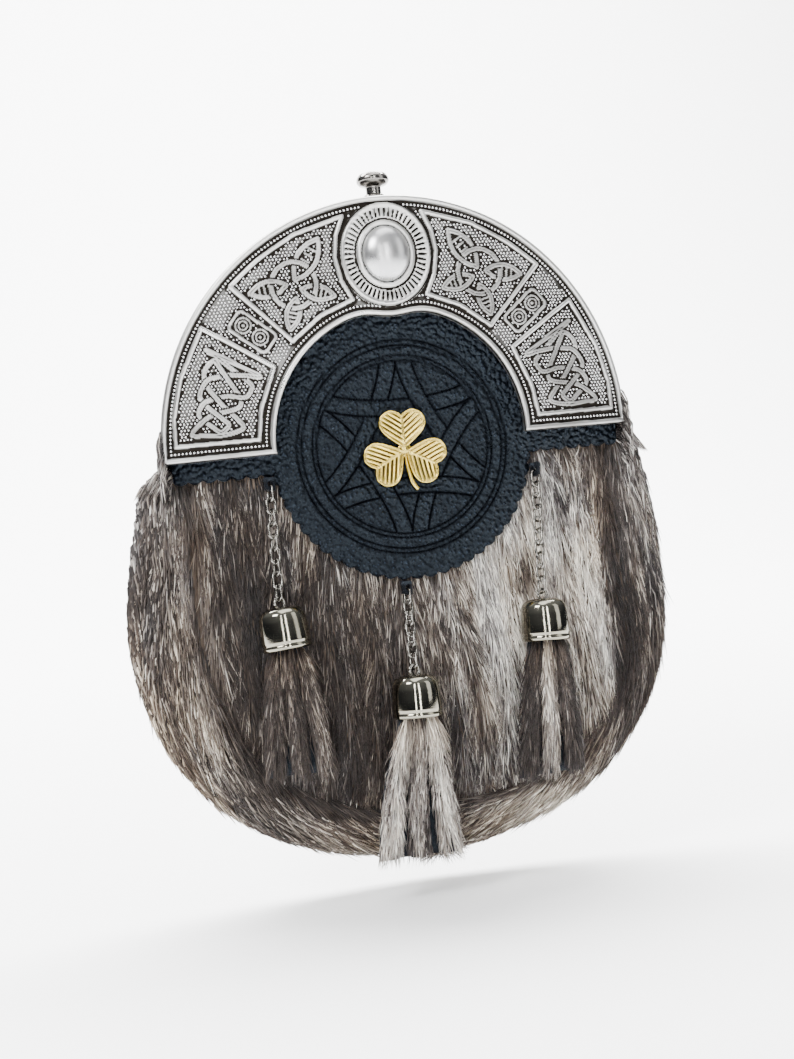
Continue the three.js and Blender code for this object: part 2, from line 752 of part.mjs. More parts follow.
function buildGusset() {
  const columns = seamSteps;
  const stations = seamStations(columns);
  const wall = (inset) => (u, v) => gussetPoint(stations, u, v, inset);
  const pieces = [slab(columns, 4, wall(0), wall(hide))];
  const rings = [0.3, 0.7];
  const run = 3;
  rings.forEach((v, ring) => {
    for (let i = 1; i < columns - 1; i += run) {
      const start = i + ring;
      const step = start < columns / 2 ? run : -run;
      const from = start < columns / 2 ? start : start + 1;
      const here = new THREE.Vector3(...gussetPoint(stations, from / columns, v, 0));
      const next = Math.round(from + step) / columns;
      if (next < 0 || next > 1) continue;
      const ahead = new THREE.Vector3(...gussetPoint(stations, next, v, 0));
      const middle = new THREE.Vector3(...gussetPoint(stations, from / columns, v, hide));
      const out = here.clone().sub(middle).normalize();
      pieces.push(lock(here, ahead.addScaledVector(out, lockLift), out, lockWidth, lockLift * 1.3));
    }
  });
  return fuse(pieces);
}

// The back: a flat panel whose top follows the arch and whose foot follows the seam
function backOutline() {
  const outer = cantleRadius - clearance;
  const end = THREE.MathUtils.radToDeg(Math.asin((-pouchTopZ - clearance) / outer));
  const arch = steps(20, (t) => polar(outer, mix(-end, 180 + end, t)));
  const seam = seamStations(seamSteps).map(([x, z]) => {
    const [nx, nz] = unit(x / pouchHalfWidth ** 2, Math.min(0, z - shoulderZ) / seamLow ** 2);
    return [x - nx * seamGap, z - nz * seamGap];
  });
  return [...arch, ...seam];
}

function buildLoop(side) {
  const [inside, outside] = [strapGap, strapGap + loopLeather];
  const half = loopHeight / 2;
  const foot = half + loopFoot;
  const rise = half - loopBend;
  const inner = loopLeather * 0.6;
  const profile = [
    [clearance, -foot], [clearance + loopLeather, -foot],
    [clearance + loopLeather, -half], [outside, -rise], [outside, rise],
    [clearance + loopLeather, half], [clearance + loopLeather, foot],
    [clearance, foot], [clearance, half - inner],
    [inside, rise - inner], [inside, inner - rise],
    [clearance, inner - half],
  ];
  const shape = new THREE.Shape(profile.map(([y, z]) => new THREE.Vector2(y, z)));
  const strip = new THREE.ExtrudeGeometry(shape, { depth: loopWidth, bevelEnabled: false });
  const upright = warp(strip, (p) => p.set(p.z - loopWidth / 2, p.x, p.y));
  return tidy(moved(upright, (side * loopSpacing) / 2, pouchDepth, loopZ));
}

// One link, its long way up: a ring of wire drawn out to its length
function linkGeometry() {
  const middle = (linkWidth - wire) / 2;
  const section = steps(5, (t) => new THREE.Vector2(
    middle + (wire / 2) * Math.cos(2 * Math.PI * t),
    (wire / 2) * Math.sin(2 * Math.PI * t),
  ));
  const ring = new THREE.LatheGeometry(section, 10, Math.PI / 10);
  return tidy(warp(ring, (p) => { p.z += Math.sign(p.z) * (linkLength - linkWidth) / 2; }));
}

// Where each chain hangs (its hanger's hole) and where its bell's top lies, as [x, z];
// lean turns the bell in the face's plane, in degrees; the tassel's hem is set from the bell's mouth
const chains = [
  { name: 'left', hole: [-44.5, -11.6], bell: [-46, -50.2], lean: 4, hem: [0.5, -41], hemWidth: 24 },
  { name: 'centre', hole: [-4.4, -49.2], bell: [-7, -75.3], lean: -2, hem: [-2, -47], hemWidth: 31 },
  { name: 'right', hole: [43.3, -15.2], bell: [37.4, -56.6], lean: -2, hem: [-1, -45], hemWidth: 25 },
];

// A small leather tab under the apron's edge, with a hole that its chain hangs in
function buildHanger([x, z], turn) {
  const middle = new THREE.Vector3(x, frontDepth(x, z) - chainOff, z);
  const tabHeight = 2 * hangerHole + wire + hangerRise;
  const tab = new THREE.BoxGeometry(hangerWidth, hangerTab, tabHeight);
  tab.translate(0, 0, tabHeight / 2 - hangerHole - wire);
  const hole = new THREE.CylinderGeometry(hangerHole, hangerHole, 3 * hangerTab, 6);
  const reach = chainOff + hangerTab / 2 - clearance;
  const head = new THREE.BoxGeometry(hangerWidth, reach, hangerRise);
  head.translate(0, reach / 2 - hangerTab / 2, hangerHole + hangerRise / 2);
  const place = (geometry) => geometry.translate(middle.x, middle.y, middle.z);
  const parts = [tab.applyQuaternion(turn), head].map(place);
  return cut(fuse(parts), [place(hole.applyQuaternion(turn))]);
}

// The bell hangs from its eye, mouth down; its top is at the height 0
function bellGeometry() {
  const shell = bellRadius - bellLip;
  const rows = [
    [0, 0], [shell * 0.55, -crownDrop], [shell * 0.88, -bellHeight * 0.17], [shell, -bellHeight * 0.42],
    [shell, lipHeight - bellHeight], [bellRadius, -bellHeight],
    [shell - bellWall, -bellHeight], [shell - bellWall, -bellHeight * 0.42], [0, -crownWall],
  ];
  const section = steps(5, (t) => new THREE.Vector2(
    eyeRadius + (wire / 2) * Math.cos(2 * Math.PI * t),
    (wire / 2) * Math.sin(2 * Math.PI * t),
  ));
  const eye = new THREE.LatheGeometry(section, 10).translate(0, 0, eyeRadius - wire / 2);
  return fuse([lathe(rows, 12), eye.rotateZ(THREE.MathUtils.degToRad(chainTwist))]);
}

// A tassel's widening: its width at the bell as a share of the head, and its slits at the hem
const flare = { start: 0.8, power: 0.7, slit: 0.06 };

// Strips of fur from a head inside the bell, flaring down over the belly
function buildTassel(row, mouth) {
  const head = bellRadius - bellLip - bellWall - clearance;
  const plugHeight = bellHeight * 0.55;
  const plug = new THREE.CylinderGeometry(head, head, plugHeight, 8).rotateX(Math.PI / 2);
  plug.translate(0, 0, plugHeight / 2 - headFlare / 2);
  plug.applyQuaternion(new THREE.Quaternion().setFromEuler(bellTurn(row)));
  const pieces = [moved(plug, mouth.x, mouth.y, mouth.z)];
  const layers = [
    { strips: 3, off: tasselOff, thick: stripThick, part: 1, step: -headFlare / 2 },
    { strips: 2, off: underOff, thick: underThick, part: 0.8, step: headFlare },
  ];
  for (const layer of layers) {
    for (let k = 0; k < layer.strips; k++) {
      const middle = (k + 0.5) / layer.strips - 0.5;
      const place = (depth) => (u, v) => {
        const half = mix(head * flare.start, (row.hemWidth / 2) * layer.part, v ** flare.power);
        const full = 1 - flare.slit * v * layer.strips;
        const across = 2 * half * (middle + ((u - 0.5) * full) / layer.strips);
        const z = mouth.z + mix(headFlare, row.hem[1], v);
        const x = mouth.x + mix(0, row.hem[0], v) + across;
        const free = mouth.y + depth / 2 + layer.step;
        const laid = frontDepth(x, z) - layer.off + depth;
        return [x, mix(free, laid, Math.min(1, v * 2)), z];
      };
      pieces.push(slab(1, 2, place(-layer.thick / 2), place(layer.thick / 2)));
    }
  }
  return fuse(pieces);
}

const bellTurn = (row) => new THREE.Euler(
  THREE.MathUtils.degToRad(-bellTilt), THREE.MathUtils.degToRad(-row.lean), 0);

// One chain with what it carries: hanger, links, bell and tassel
function buildChain(row) {
  const [bx, bz] = row.bell;
  const rest = frontDepth(bx, bz - bellHeight) - bellRadius - lockLift / 2 - clearance;
  const bell = add(`bell_${row.name}`, 'gunmetal', bellGeometry());
  bell.position.set(bx, rest, bz);
  bell.rotation.copy(bellTurn(row));
  const along = (height) => new THREE.Vector3(0, 0, height).applyEuler(bell.rotation).add(bell.position);
  add(`tassel_${row.name}`, 'fur', buildTassel(row, along(-bellHeight)));

  // The first link's wire goes through the hanger's hole, the last one's through the bell's eye
  const [hx, hz] = row.hole;
  const top = new THREE.Vector3(hx, frontDepth(hx, hz) - chainOff, hz + wire / 2 - clearance);
  const foot = along(2 * eyeRadius - 2 * wire - linkPlay);
  const run = foot.clone().sub(top);
  const down = new THREE.Vector3(0, 0, -1);
  const aim = new THREE.Quaternion().setFromUnitVectors(down, run.clone().normalize());
  const spread = run.length() - linkLength;
  const count = 1 + Math.ceil(spread / (linkLength - 2 * wire - linkPlay));
  const turned = (i) => new THREE.Quaternion().setFromAxisAngle(
    new THREE.Vector3(0, 0, 1),
    THREE.MathUtils.degToRad(chainTwist + 90 * ((count - i) % 2)));
  for (let i = 0; i < count; i++) {
    const mesh = add(`link_${row.name}_${i + 1}`, 'gunmetal', linkGeometry());
    const travelled = linkLength / 2 + (spread * i) / (count - 1);
    mesh.position.copy(top).addScaledVector(run, travelled / run.length());
    mesh.quaternion.copy(aim).multiply(turned(i));
  }
  add(`hanger_${row.name}`, 'leather', buildHanger(row.hole, aim.clone().multiply(turned(-1))));
}

add('back_frame', 'gunmetal', buildBackFrame());
add('catch_collar', 'gunmetal', buildCollar());
add('catch_knob', 'gunmetal', buildKnob());
add('apron', 'leather', buildApron());
add('shamrock_badge', 'gold', buildBadge());
add('fur_front', 'fur', buildFurFront());
add('fur_gusset', 'fur', buildGusset());
add('back_panel', 'leather', tidy(plate(backOutline(), backInside, pouchDepth)));
add('loop_left', 'leather', buildLoop(-1));
add('loop_right', 'leather', buildLoop(1));
for (const row of chains) buildChain(row);

export default group;
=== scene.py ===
# %% [markdown]
# A full-dress sporran pouch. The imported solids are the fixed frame: they say where every piece is,
# and this script gives each piece its real surface. Everything below is measured in millimetres
# from one point, the centre of the cantle's arc on the cantle's front, and then moved into the
# frame's metres, because that is the point that the pouch's own maker would draw it from.

# %% Load the frame
import bpy
import math
import numpy as np
from mathutils import Matrix, Vector


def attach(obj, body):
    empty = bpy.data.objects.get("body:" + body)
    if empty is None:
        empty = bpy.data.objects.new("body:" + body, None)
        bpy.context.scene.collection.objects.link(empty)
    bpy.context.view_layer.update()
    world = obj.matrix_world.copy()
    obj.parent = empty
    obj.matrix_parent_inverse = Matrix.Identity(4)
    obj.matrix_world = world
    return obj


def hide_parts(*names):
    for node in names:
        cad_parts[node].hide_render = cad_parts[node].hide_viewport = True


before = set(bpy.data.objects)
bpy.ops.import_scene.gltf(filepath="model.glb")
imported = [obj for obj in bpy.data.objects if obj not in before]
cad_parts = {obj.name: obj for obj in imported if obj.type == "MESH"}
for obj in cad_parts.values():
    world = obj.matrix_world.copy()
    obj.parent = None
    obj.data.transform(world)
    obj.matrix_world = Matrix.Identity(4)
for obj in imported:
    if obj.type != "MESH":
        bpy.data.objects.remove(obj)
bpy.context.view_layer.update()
POUCH = "pouch"

MM = 0.001
FRONT_Y, CENTRE_Z = -28.5, -35.0  # the cantle's arc centre in the frame, in mm

# %% [markdown]
# The camera stands where the photographer stood: a little to the left of the pouch, almost level
# with it, and turned so that the pouch leans in the picture. A lens is a distance and a focal
# length together, so both are set from the same fit, and the frame is never shifted.

# %% Camera
VIEW_AZIMUTH, VIEW_RISE, VIEW_ROLL = -9.488, 0.932, -5.795
VIEW_DISTANCE = 450.0
VIEW_AIM = np.array([-5.593, 0.0, -30.08])
IMAGE_HEIGHT_PX = 1059.0
FOCAL_PX = 1399.0


def place(points):
    """Points in millimetres from the cantle's centre, as metres in the frame."""
    points = np.asarray(points, float)
    return (points + np.array([0.0, FRONT_Y, CENTRE_Z])) * MM


def make_camera():
    turn, rise, roll = np.radians([VIEW_AZIMUTH, VIEW_RISE, VIEW_ROLL])
    back = np.array([math.sin(turn) * math.cos(rise), -math.cos(turn) * math.cos(rise), math.sin(rise)])
    right = np.cross(-back, [0, 0, 1])
    right /= np.linalg.norm(right)
    up = np.cross(back, right)
    side = right * math.cos(roll) + up * math.sin(roll)
    top = -right * math.sin(roll) + up * math.cos(roll)
    data = bpy.data.cameras.new("camera")
    data.sensor_fit = "VERTICAL"
    data.sensor_height = 24.0
    data.lens = FOCAL_PX / IMAGE_HEIGHT_PX * data.sensor_height
    data.clip_start, data.clip_end = 0.01, 20.0
    camera = bpy.data.objects.new("camera", data)
    bpy.context.scene.collection.objects.link(camera)
    spot = place(VIEW_AIM + back * VIEW_DISTANCE)
    matrix = Matrix((side, top, back)).transposed().to_4x4()
    matrix.translation = Vector(spot)
    camera.matrix_world = matrix
    bpy.context.scene.camera = camera
    return camera


camera = make_camera()
print("camera at", [round(v, 3) for v in camera.location])

# %% [markdown]
# The set is a pale sweep: a floor that curves up into a wall far behind, so that no horizon shows.
# One soft light hangs above and to the left of the lens, a large one overhead, a weak one fills
# from the right, and two narrow strips by the lens put the streaks on the bells. The last one only
# lights the wall. The world is dark below and pale above, so that metal shows a horizon, and the
# camera itself sees it as plain pale grey.

# %% Set and lights
FLOOR_Z = -0.1835
SWEEP_WIDTH, SWEEP_BACK, SWEEP_FRONT, SWEEP_HEIGHT, SWEEP_BEND = 5.0, 2.2, 2.5, 3.0, 1.2


def plain_material(name, colour, roughness):
    material = bpy.data.materials.new(name)
    material.use_nodes = True
    shader = material.node_tree.nodes["Principled BSDF"]
    shader.inputs["Base Color"].default_value = (*colour, 1)
    shader.inputs["Roughness"].default_value = roughness
    return material


def make_sweep():
    start = SWEEP_BACK - SWEEP_BEND
    profile = [(-SWEEP_FRONT, 0.0), (start, 0.0)]
    for i in range(1, 13):
        angle = math.pi / 2 * i / 12
        profile.append((start + SWEEP_BEND * math.sin(angle), SWEEP_BEND - SWEEP_BEND * math.cos(angle)))
    profile.append((SWEEP_BACK, SWEEP_HEIGHT))
    points = [(x, y, FLOOR_Z + z) for y, z in profile for x in (-SWEEP_WIDTH / 2, SWEEP_WIDTH / 2)]
    faces = [(2 * i, 2 * i + 1, 2 * i + 3, 2 * i + 2) for i in range(len(profile) - 1)]
    mesh = bpy.data.meshes.new("sweep")
    mesh.from_pydata(points, [], faces)
    mesh.shade_smooth()
    mesh.materials.append(plain_material("pale_sweep", (0.98, 0.98, 0.98), 0.95))
    sweep = bpy.data.objects.new("sweep", mesh)
    bpy.context.scene.collection.objects.link(sweep)


LIGHTS = [
    # name, where it stands (m), what it aims at (m), width and height (m), power (W)
    ("key", (-0.85, -0.75, 0.85), (0.0, 0.0, -0.05), (0.5, 0.45), 23.0),
    ("top", (0.15, -0.25, 1.2), (0.0, 0.0, -0.05), (1.1, 0.6), 11.0),
    ("fill", (1.1, -0.7, 0.45), (0.0, 0.0, -0.06), (0.5, 1.0), 4.0),
    ("strip_left", (-0.30, -1.2, 0.2), (0.0, 0.0, -0.06), (0.06, 0.8), 4.0),
    ("strip_right", (0.14, -1.2, 0.2), (0.0, 0.0, -0.06), (0.09, 0.8), 6.0),
    ("sweep", (0.0, 0.7, 1.6), (0.0, 1.6, -0.1), (2.4, 1.0), 340.0),
]
WORLD_LOW, WORLD_HIGH, WORLD_SEEN = (0.07, 0.075, 0.085), (0.80, 0.82, 0.85), (0.9, 0.9, 0.9)
WORLD_FADE, WORLD_STRENGTH = (0.1, 0.8), 0.75


def make_lights():
    for name, spot, aim, size, power in LIGHTS:
        data = bpy.data.lights.new(name, "AREA")
        data.shape = "RECTANGLE"
        data.size, data.size_y = size
        data.energy = power
        light = bpy.data.objects.new(name, data)
        light.location = spot
        light.rotation_euler = (Vector(aim) - Vector(spot)).to_track_quat("-Z", "Y").to_euler()
        bpy.context.scene.collection.objects.link(light)
    world = bpy.data.worlds.new("studio")
    world.use_nodes = True
    tree = world.node_tree
    direction = tree.nodes.new("ShaderNodeTexCoord")
    split = tree.nodes.new("ShaderNodeSeparateXYZ")
    height = tree.nodes.new("ShaderNodeMapRange")
    height.inputs["From Min"].default_value, height.inputs["From Max"].default_value = WORLD_FADE
    shade = tree.nodes.new("ShaderNodeMix")
    shade.data_type = "RGBA"
    shade.inputs[6].default_value, shade.inputs[7].default_value = (*WORLD_LOW, 1), (*WORLD_HIGH, 1)
    tree.links.new(direction.outputs["Generated"], split.inputs[0])
    tree.links.new(split.outputs["Z"], height.inputs["Value"])
    tree.links.new(height.outputs[0], shade.inputs[0])
    seen = tree.nodes.new("ShaderNodeMix")
    seen.data_type = "RGBA"
    seen.inputs[7].default_value = (*WORLD_SEEN, 1)
    ray = tree.nodes.new("ShaderNodeLightPath")
    tree.links.new(ray.outputs["Is Camera Ray"], seen.inputs[0])
    tree.links.new(shade.outputs[2], seen.inputs[6])
    tree.links.new(seen.outputs[2], tree.nodes["Background"].inputs["Color"])
    tree.nodes["Background"].inputs["Strength"].default_value = WORLD_STRENGTH
    bpy.context.scene.world = world


make_sweep()
make_lights()

# %% [markdown]
# The face of the pouch isn't flat: the cantle, the apron and the hide behind them bow back towards
# the sides, and the hide swells forward below the apron. Two small functions hold that shape, so
# that every surface that lies on the face is bent by the same rule.

# %% The face's shape
FACE_BOW = 0.0014  # mm back per mm of width squared
POUCH_TOP, POUCH_DROP = -6.0, 118.0
BELLY_REACH, EASE = 11.0, 0.07
# share of the way down the pouch, and share of the belly's reach there
BELLY = np.array([(0, 0), (0.45, 0.36), (0.56, 0.82), (0.66, 1.0), (0.8, 1.0), (0.92, 0.8), (1, 0.5)])
APRON_FRONT, APRON_BACK = 4.1, 6.1
HIDE_GAP, HIDE = 0.3, 2.0
BACK_Y = 26.0


def bow(x):
    return FACE_BOW * np.asarray(x, float) ** 2


def belly(z):
    """How far the full pouch stands forward at a height: the solids' bends, eased as hide eases them."""
    down = (POUCH_TOP - np.asarray(z, float)) / (POUCH_DROP + POUCH_TOP)
    steps = np.linspace(-EASE, EASE, 9)
    return BELLY_REACH * np.mean([np.interp(down + step, BELLY[:, 0], BELLY[:, 1]) for step in steps], axis=0)


def hide_depth(x, z):
    """Depth of the hide's outer face on the front of the pouch."""
    return APRON_BACK + HIDE_GAP + bow(x) - belly(z)


def add_mesh(name, points, faces, material, body=POUCH, attributes=None):
    """A mesh object from arrays of points (mm from the cantle's centre) and faces."""
    mesh = bpy.data.meshes.new(name)
    mesh.from_pydata(place(points).tolist(), [], [tuple(map(int, face)) for face in faces])
    for key, values in (attributes or {}).items():
        layer = mesh.attributes.new(key, "FLOAT", "POINT")
        layer.data.foreach_set("value", np.asarray(values, np.float32).ravel())
    mesh.materials.append(material)
    mesh.shade_smooth()
    mesh.update()
    piece = bpy.data.objects.new(name, mesh)
    bpy.context.scene.collection.objects.link(piece)
    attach(piece, body)
    return piece


def grid_faces(rows, columns, start=0, flip=False):
    """Quads of a grid whose points run along columns first."""
    j, i = np.meshgrid(np.arange(rows - 1), np.arange(columns - 1), indexing="ij")
    a = (start + j * columns + i).ravel()
    quads = np.stack([a, a + 1, a + columns + 1, a + columns], 1)
    return quads[:, ::-1] if flip else quads


def slab_from_grids(front, back):
    """Points and faces of a closed slab between two grids (rows, columns, 3), front towards -Y."""
    rows, columns = front.shape[:2]
    count = rows * columns
    points = np.concatenate([front.reshape(-1, 3), back.reshape(-1, 3)])
    faces = [grid_faces(rows, columns), grid_faces(rows, columns, count, flip=True)]
    index = np.arange(count).reshape(rows, columns)
    loop = np.concatenate([index[0, :-1], index[:-1, -1], index[-1, :0:-1], index[:0:-1, 0]])
    after = np.roll(loop, -1)
    faces.append(np.stack([after, loop, loop + count, after + count], 1))
    return points, np.concatenate(faces)


def capped_rings(rings, columns):
    """Faces of a form made of closed rings of points, then a hub for the first ring and one for the last."""
    j, i = np.meshgrid(np.arange(rings - 1), np.arange(columns), indexing="ij")
    a, after = j * columns, (i + 1) % columns
    quads = np.stack([a + i, a + after, a + columns + after, a + columns + i], -1)
    faces = quads.reshape(-1, 4).tolist()
    hub, last = rings * columns, (rings - 1) * columns
    faces += [(hub, (k + 1) % columns, k) for k in range(columns)]
    faces += [(hub + 1, last + k, last + (k + 1) % columns) for k in range(columns)]
    return faces


def outward(points, faces):
    """The same closed form with its faces pointing out."""
    total = 0.0
    for face in faces:
        a = points[face[0]]
        for k in range(1, len(face) - 1):
            total += a @ np.cross(points[face[k]], points[face[k + 1]])
    return faces if total > 0 else [tuple(reversed(face)) for face in faces]


# %% [markdown]
# Relief on cast metal is best kept as one height field: a fine grid over the arch whose points are
# pushed forward by rims, ridges, knots and flutes. Each line of the ornament is a path, and the
# height at a point comes from its distance to the paths. Where two strands of a knot cross, one
# has to pass over the other in turn, so every strand carries a level that rises and falls.

# %% Paths and their distances
CANTLE_R, CANTLE_BAND, CANTLE_DROP = 77.5, 36.5, 2.3
INNER_R = CANTLE_R - CANTLE_BAND
GROUND, PLATE_BACK = 1.2, 3.8
MEDALLION = np.array([0.0, 58.55])


def smoothstep(low, high, value):
    t = np.clip((value - low) / (high - low), 0, 1)
    return t * t * (3 - 2 * t)


def polar(radius, degrees):
    turn = np.radians(degrees)
    return np.stack([radius * np.cos(turn), radius * np.sin(turn)], -1)


def curve(points, closed=True, per_span=7):
    """A smooth path through points, by Catmull-Rom spans."""
    points = np.array(points, float)
    count = len(points)
    spans = range(count) if closed else range(count - 1)
    path = []
    for i in spans:
        near = [points[(i + k) % count] if closed else points[min(max(i + k, 0), count - 1)]
                for k in (-1, 0, 1, 2)]
        for t in np.arange(per_span) / per_span:
            path.append(0.5 * (2 * near[1] + (near[2] - near[0]) * t
                               + (2 * near[0] - 5 * near[1] + 4 * near[2] - near[3]) * t * t
                               + (3 * near[1] - near[0] - 3 * near[2] + near[3]) * t ** 3))
    path.append(points[0] if closed else points[-1])
    return np.array(path)


def nearest(path, x, z):
    """Distance from each point to a path, and how far along the path it lies nearest."""
    best = np.full(x.shape, 1e9)
    where = np.zeros(x.shape)
    for i in range(len(path) - 1):
        a, b = path[i], path[i + 1]
        step = b - a
        t = np.clip(((x - a[0]) * step[0] + (z - a[1]) * step[1]) / max(step @ step, 1e-9), 0, 1)
        d = np.hypot(x - a[0] - t * step[0], z - a[1] - t * step[1])
        closer = d < best
        best = np.where(closer, d, best)
        where = np.where(closer, i + t, where)
    return best, where


def crossings(paths):
    """Places where the paths cross each other or themselves: (path, at, other path, at)."""
    found = []
    for p, first in enumerate(paths):
        for q, second in enumerate(paths[p:], p):
            for i in range(len(first) - 1):
                a, r = first[i], first[i + 1] - first[i]
                start = i + 2 if p == q else 0
                b, s = second[start:-1], np.diff(second[start:], axis=0)
                if not len(b):
                    continue
                cross = r[0] * s[:, 1] - r[1] * s[:, 0]
                cross = np.where(abs(cross) < 1e-9, 1e-9, cross)
                t = ((b[:, 0] - a[0]) * s[:, 1] - (b[:, 1] - a[1]) * s[:, 0]) / cross
                u = ((b[:, 0] - a[0]) * r[1] - (b[:, 1] - a[1]) * r[0]) / cross
                for k in np.nonzero((t >= 0) & (t < 1) & (u >= 0) & (u < 1))[0]:
                    if p == q and i == 0 and start + k == len(first) - 2:
                        continue
                    found.append((p, i + t[k], q, start + k + u[k]))
    return found


def over_in_turn(paths):
    """The crossings as (place, path on top, where on it): each path goes over and under in turn."""
    found = crossings(paths)
    sign = {}
    for p in range(len(paths)):
        mine = sorted([(row[1], n, 0) for n, row in enumerate(found) if row[0] == p]
                      + [(row[3], n, 1) for n, row in enumerate(found) if row[2] == p])
        first = next((k for k, (_, n, side) in enumerate(mine) if (n, 1 - side) in sign), None)
        start = 1 if first is None else -sign[(mine[first][1], 1 - mine[first][2])] * (-1) ** first
        for k, (_, n, side) in enumerate(mine):
            sign[(n, side)] = -sign[(n, 1 - side)] if (n, 1 - side) in sign else start * (-1) ** k
    rows = []
    for n, (p, at, q, other) in enumerate(found):
        top, where = (p, at) if sign[(n, 0)] > 0 else (q, other)
        whole = int(where)
        place = paths[top][whole] + (where - whole) * (paths[top][whole + 1] - paths[top][whole])
        rows.append((place, top, whole))
    return rows


def woven(paths, x, z, width, moat, profile):
    """Height of interlaced strands: the strand on top runs on, the other stops short of it."""
    height = np.zeros(x.shape)
    for path in paths:
        height = np.maximum(height, profile(nearest(path, x, z)[0]))
    reach = 1.5 * width
    for place, top, whole in over_in_turn(paths):
        path = paths[top]
        run = np.hypot(*np.diff(path, axis=0).T).mean()
        span = int(math.ceil(1.6 * reach / run))
        index = np.arange(whole - span, whole + span + 2)
        closed = np.allclose(path[0], path[-1])
        index = index % (len(path) - 1) if closed else index[(index >= 0) & (index < len(path))]
        near = np.hypot(x - place[0], z - place[1]) < reach
        d = nearest(path[index], x[near], z[near])[0]
        height[near] = np.where(d < width / 2 + moat, profile(d), height[near])
    return height


# %% [markdown]
# The cantle's face, from its edges inward: a round rim, a groove with a row of beads, then two
# framed panels a side with interlaced knots, a small tablet between them, and at the top an oval
# medallion with a fluted ring. The two halves mirror each other, so the height is worked out once.

# %% The cantle's relief
RIM_HEIGHT, RIM_WIDTH = 1.2, 1.9
BEAD_INSET, BEAD_RADIUS, BEAD_PITCH = 3.1, 0.5, 1.22
FRAME_HEIGHT, FRAME_WIDTH = 0.9, 1.5
KNOT_HEIGHT, KNOT_WIDTH, KNOT_MOAT = 0.75, 1.55, 0.4
BUMP_DROP, BUMP_WIDTH = 2.5, 16.0
TABLET_X, TABLET_Z, TABLET_DEGREES = 45, 37.3, 39.6
FLUTES, OVAL_TALL = 52, 1.12

LOWER_PANEL = [(46.3, 2.9), (72.7, 3.2), (72.5, 12.0), (69.2, 24.5), (61.0, 40.0), (52.0, 34.2),
               (39.4, 25.6), (44.8, 12.5)]
UPPER_PANEL = [(50.6, 52.4), (41.5, 59.8), (29.0, 67.0), (13.0, 71.6), (15.6, 65.5), (16.6, 58.5),
               (15.2, 51.0), (12.2, 44.8), (23.0, 40.5), (32.6, 33.2)]
LOWER_KNOT_AT, UPPER_KNOT_AT = np.array([57.0, 19.5]), np.array([30.5, 51.0])
LOWER_KNOT = [
    [(3, 13.5), (-5, 8.6), (-13, 3.5), (-8.5, 4.2), (-3.5, 4.8), (0, 4.6), (3.5, 4), (6, 1),
     (6.5, -1.5), (4.5, -4.5), (2.2, -6.8), (0, -9), (-1.6, -11), (1, -13), (3.6, -11), (6, -9),
     (7.3, -7.4), (7.3, -5.5), (5, -3), (1.5, -2.2), (-2.5, -1.8), (-7.6, -2.7), (-9.8, -0.5),
     (-10, 1), (-8, 3.3), (-4, 7), (0, 11)],
    [(1, 9.9), (4, 7.5), (4.7, 5), (4, 2), (1.5, -2), (-1.5, -6), (-4.2, -9), (-6, -12.5),
     (0, -14), (5, -13.7), (10.2, -13), (7, -9.5), (3.5, -7.5), (0.3, -6.8), (-4, -6.2),
     (-6, -5), (-6.2, -3), (-5, -0.5), (-2.5, 4), (-0.6, 7.5)],
]
LEAF_TIPS = [((-9, 14), (-0.6, 1.6)), ((14, -1.5), (2.4, 0.2)), ((2.5, -14), (-0.3, -4.5)),
             ((-12.5, -4.5), (-2.4, -1.6))]


def leaf_path(tip, end, fullness=0.21):
    """A pointed leaf's outline, out along one side and back along the other."""
    tip, end = np.array(tip, float), np.array(end, float)
    along = tip - end
    side = np.array([-along[1], along[0]]) * fullness
    shares = (0.02, 0.25, 0.5, 0.75, 0.98)
    out = [end + along * t + side * math.sin(math.pi * t) ** 0.8 for t in shares]
    back = [end + along * t - side * math.sin(math.pi * t) ** 0.8 for t in shares[::-1]]
    return out + back


def upper_knot_paths():
    leaves = [curve(leaf_path(*row)) for row in LEAF_TIPS]
    weave = [(7.8 * math.cos(a) * 0.92, 7.4 * math.sin(a)) for a in np.arange(12) * math.pi / 6 + 0.3]
    return leaves + [curve(weave)]


def edge_round(inside, width):
    """1 well inside an edge, falling round to 0 at it."""
    return np.sqrt(np.clip(1 - (1 - np.clip(inside / width, 0, 1)) ** 2, 0, 1))


def band_profile(d):
    body = edge_round(KNOT_WIDTH / 2 - d, 0.5)
    return KNOT_HEIGHT * body * (1 - 0.55 * np.exp(-(d / 0.26) ** 2))


def bump(x):
    return BUMP_DROP * np.exp(-((2 * x / BUMP_WIDTH) ** 2))


def oval(x, z, half_width, half_height):
    """Signed distance, near enough, to an oval round the medallion's middle; negative inside."""
    dx, dz = x / half_width, (z - MEDALLION[1]) / half_height
    share = np.hypot(dx, dz)
    return (share - 1) * np.hypot(x, z - MEDALLION[1]) / np.maximum(share, 1e-6)


def cantle_edge(x, z):
    """Distance of plan points from the cantle's nearest edge."""
    radius = np.hypot(x, z)
    inner = radius - INNER_R + bump(x) * (z > 0)
    return np.minimum(np.minimum(inner, CANTLE_R - radius), z + CANTLE_DROP)


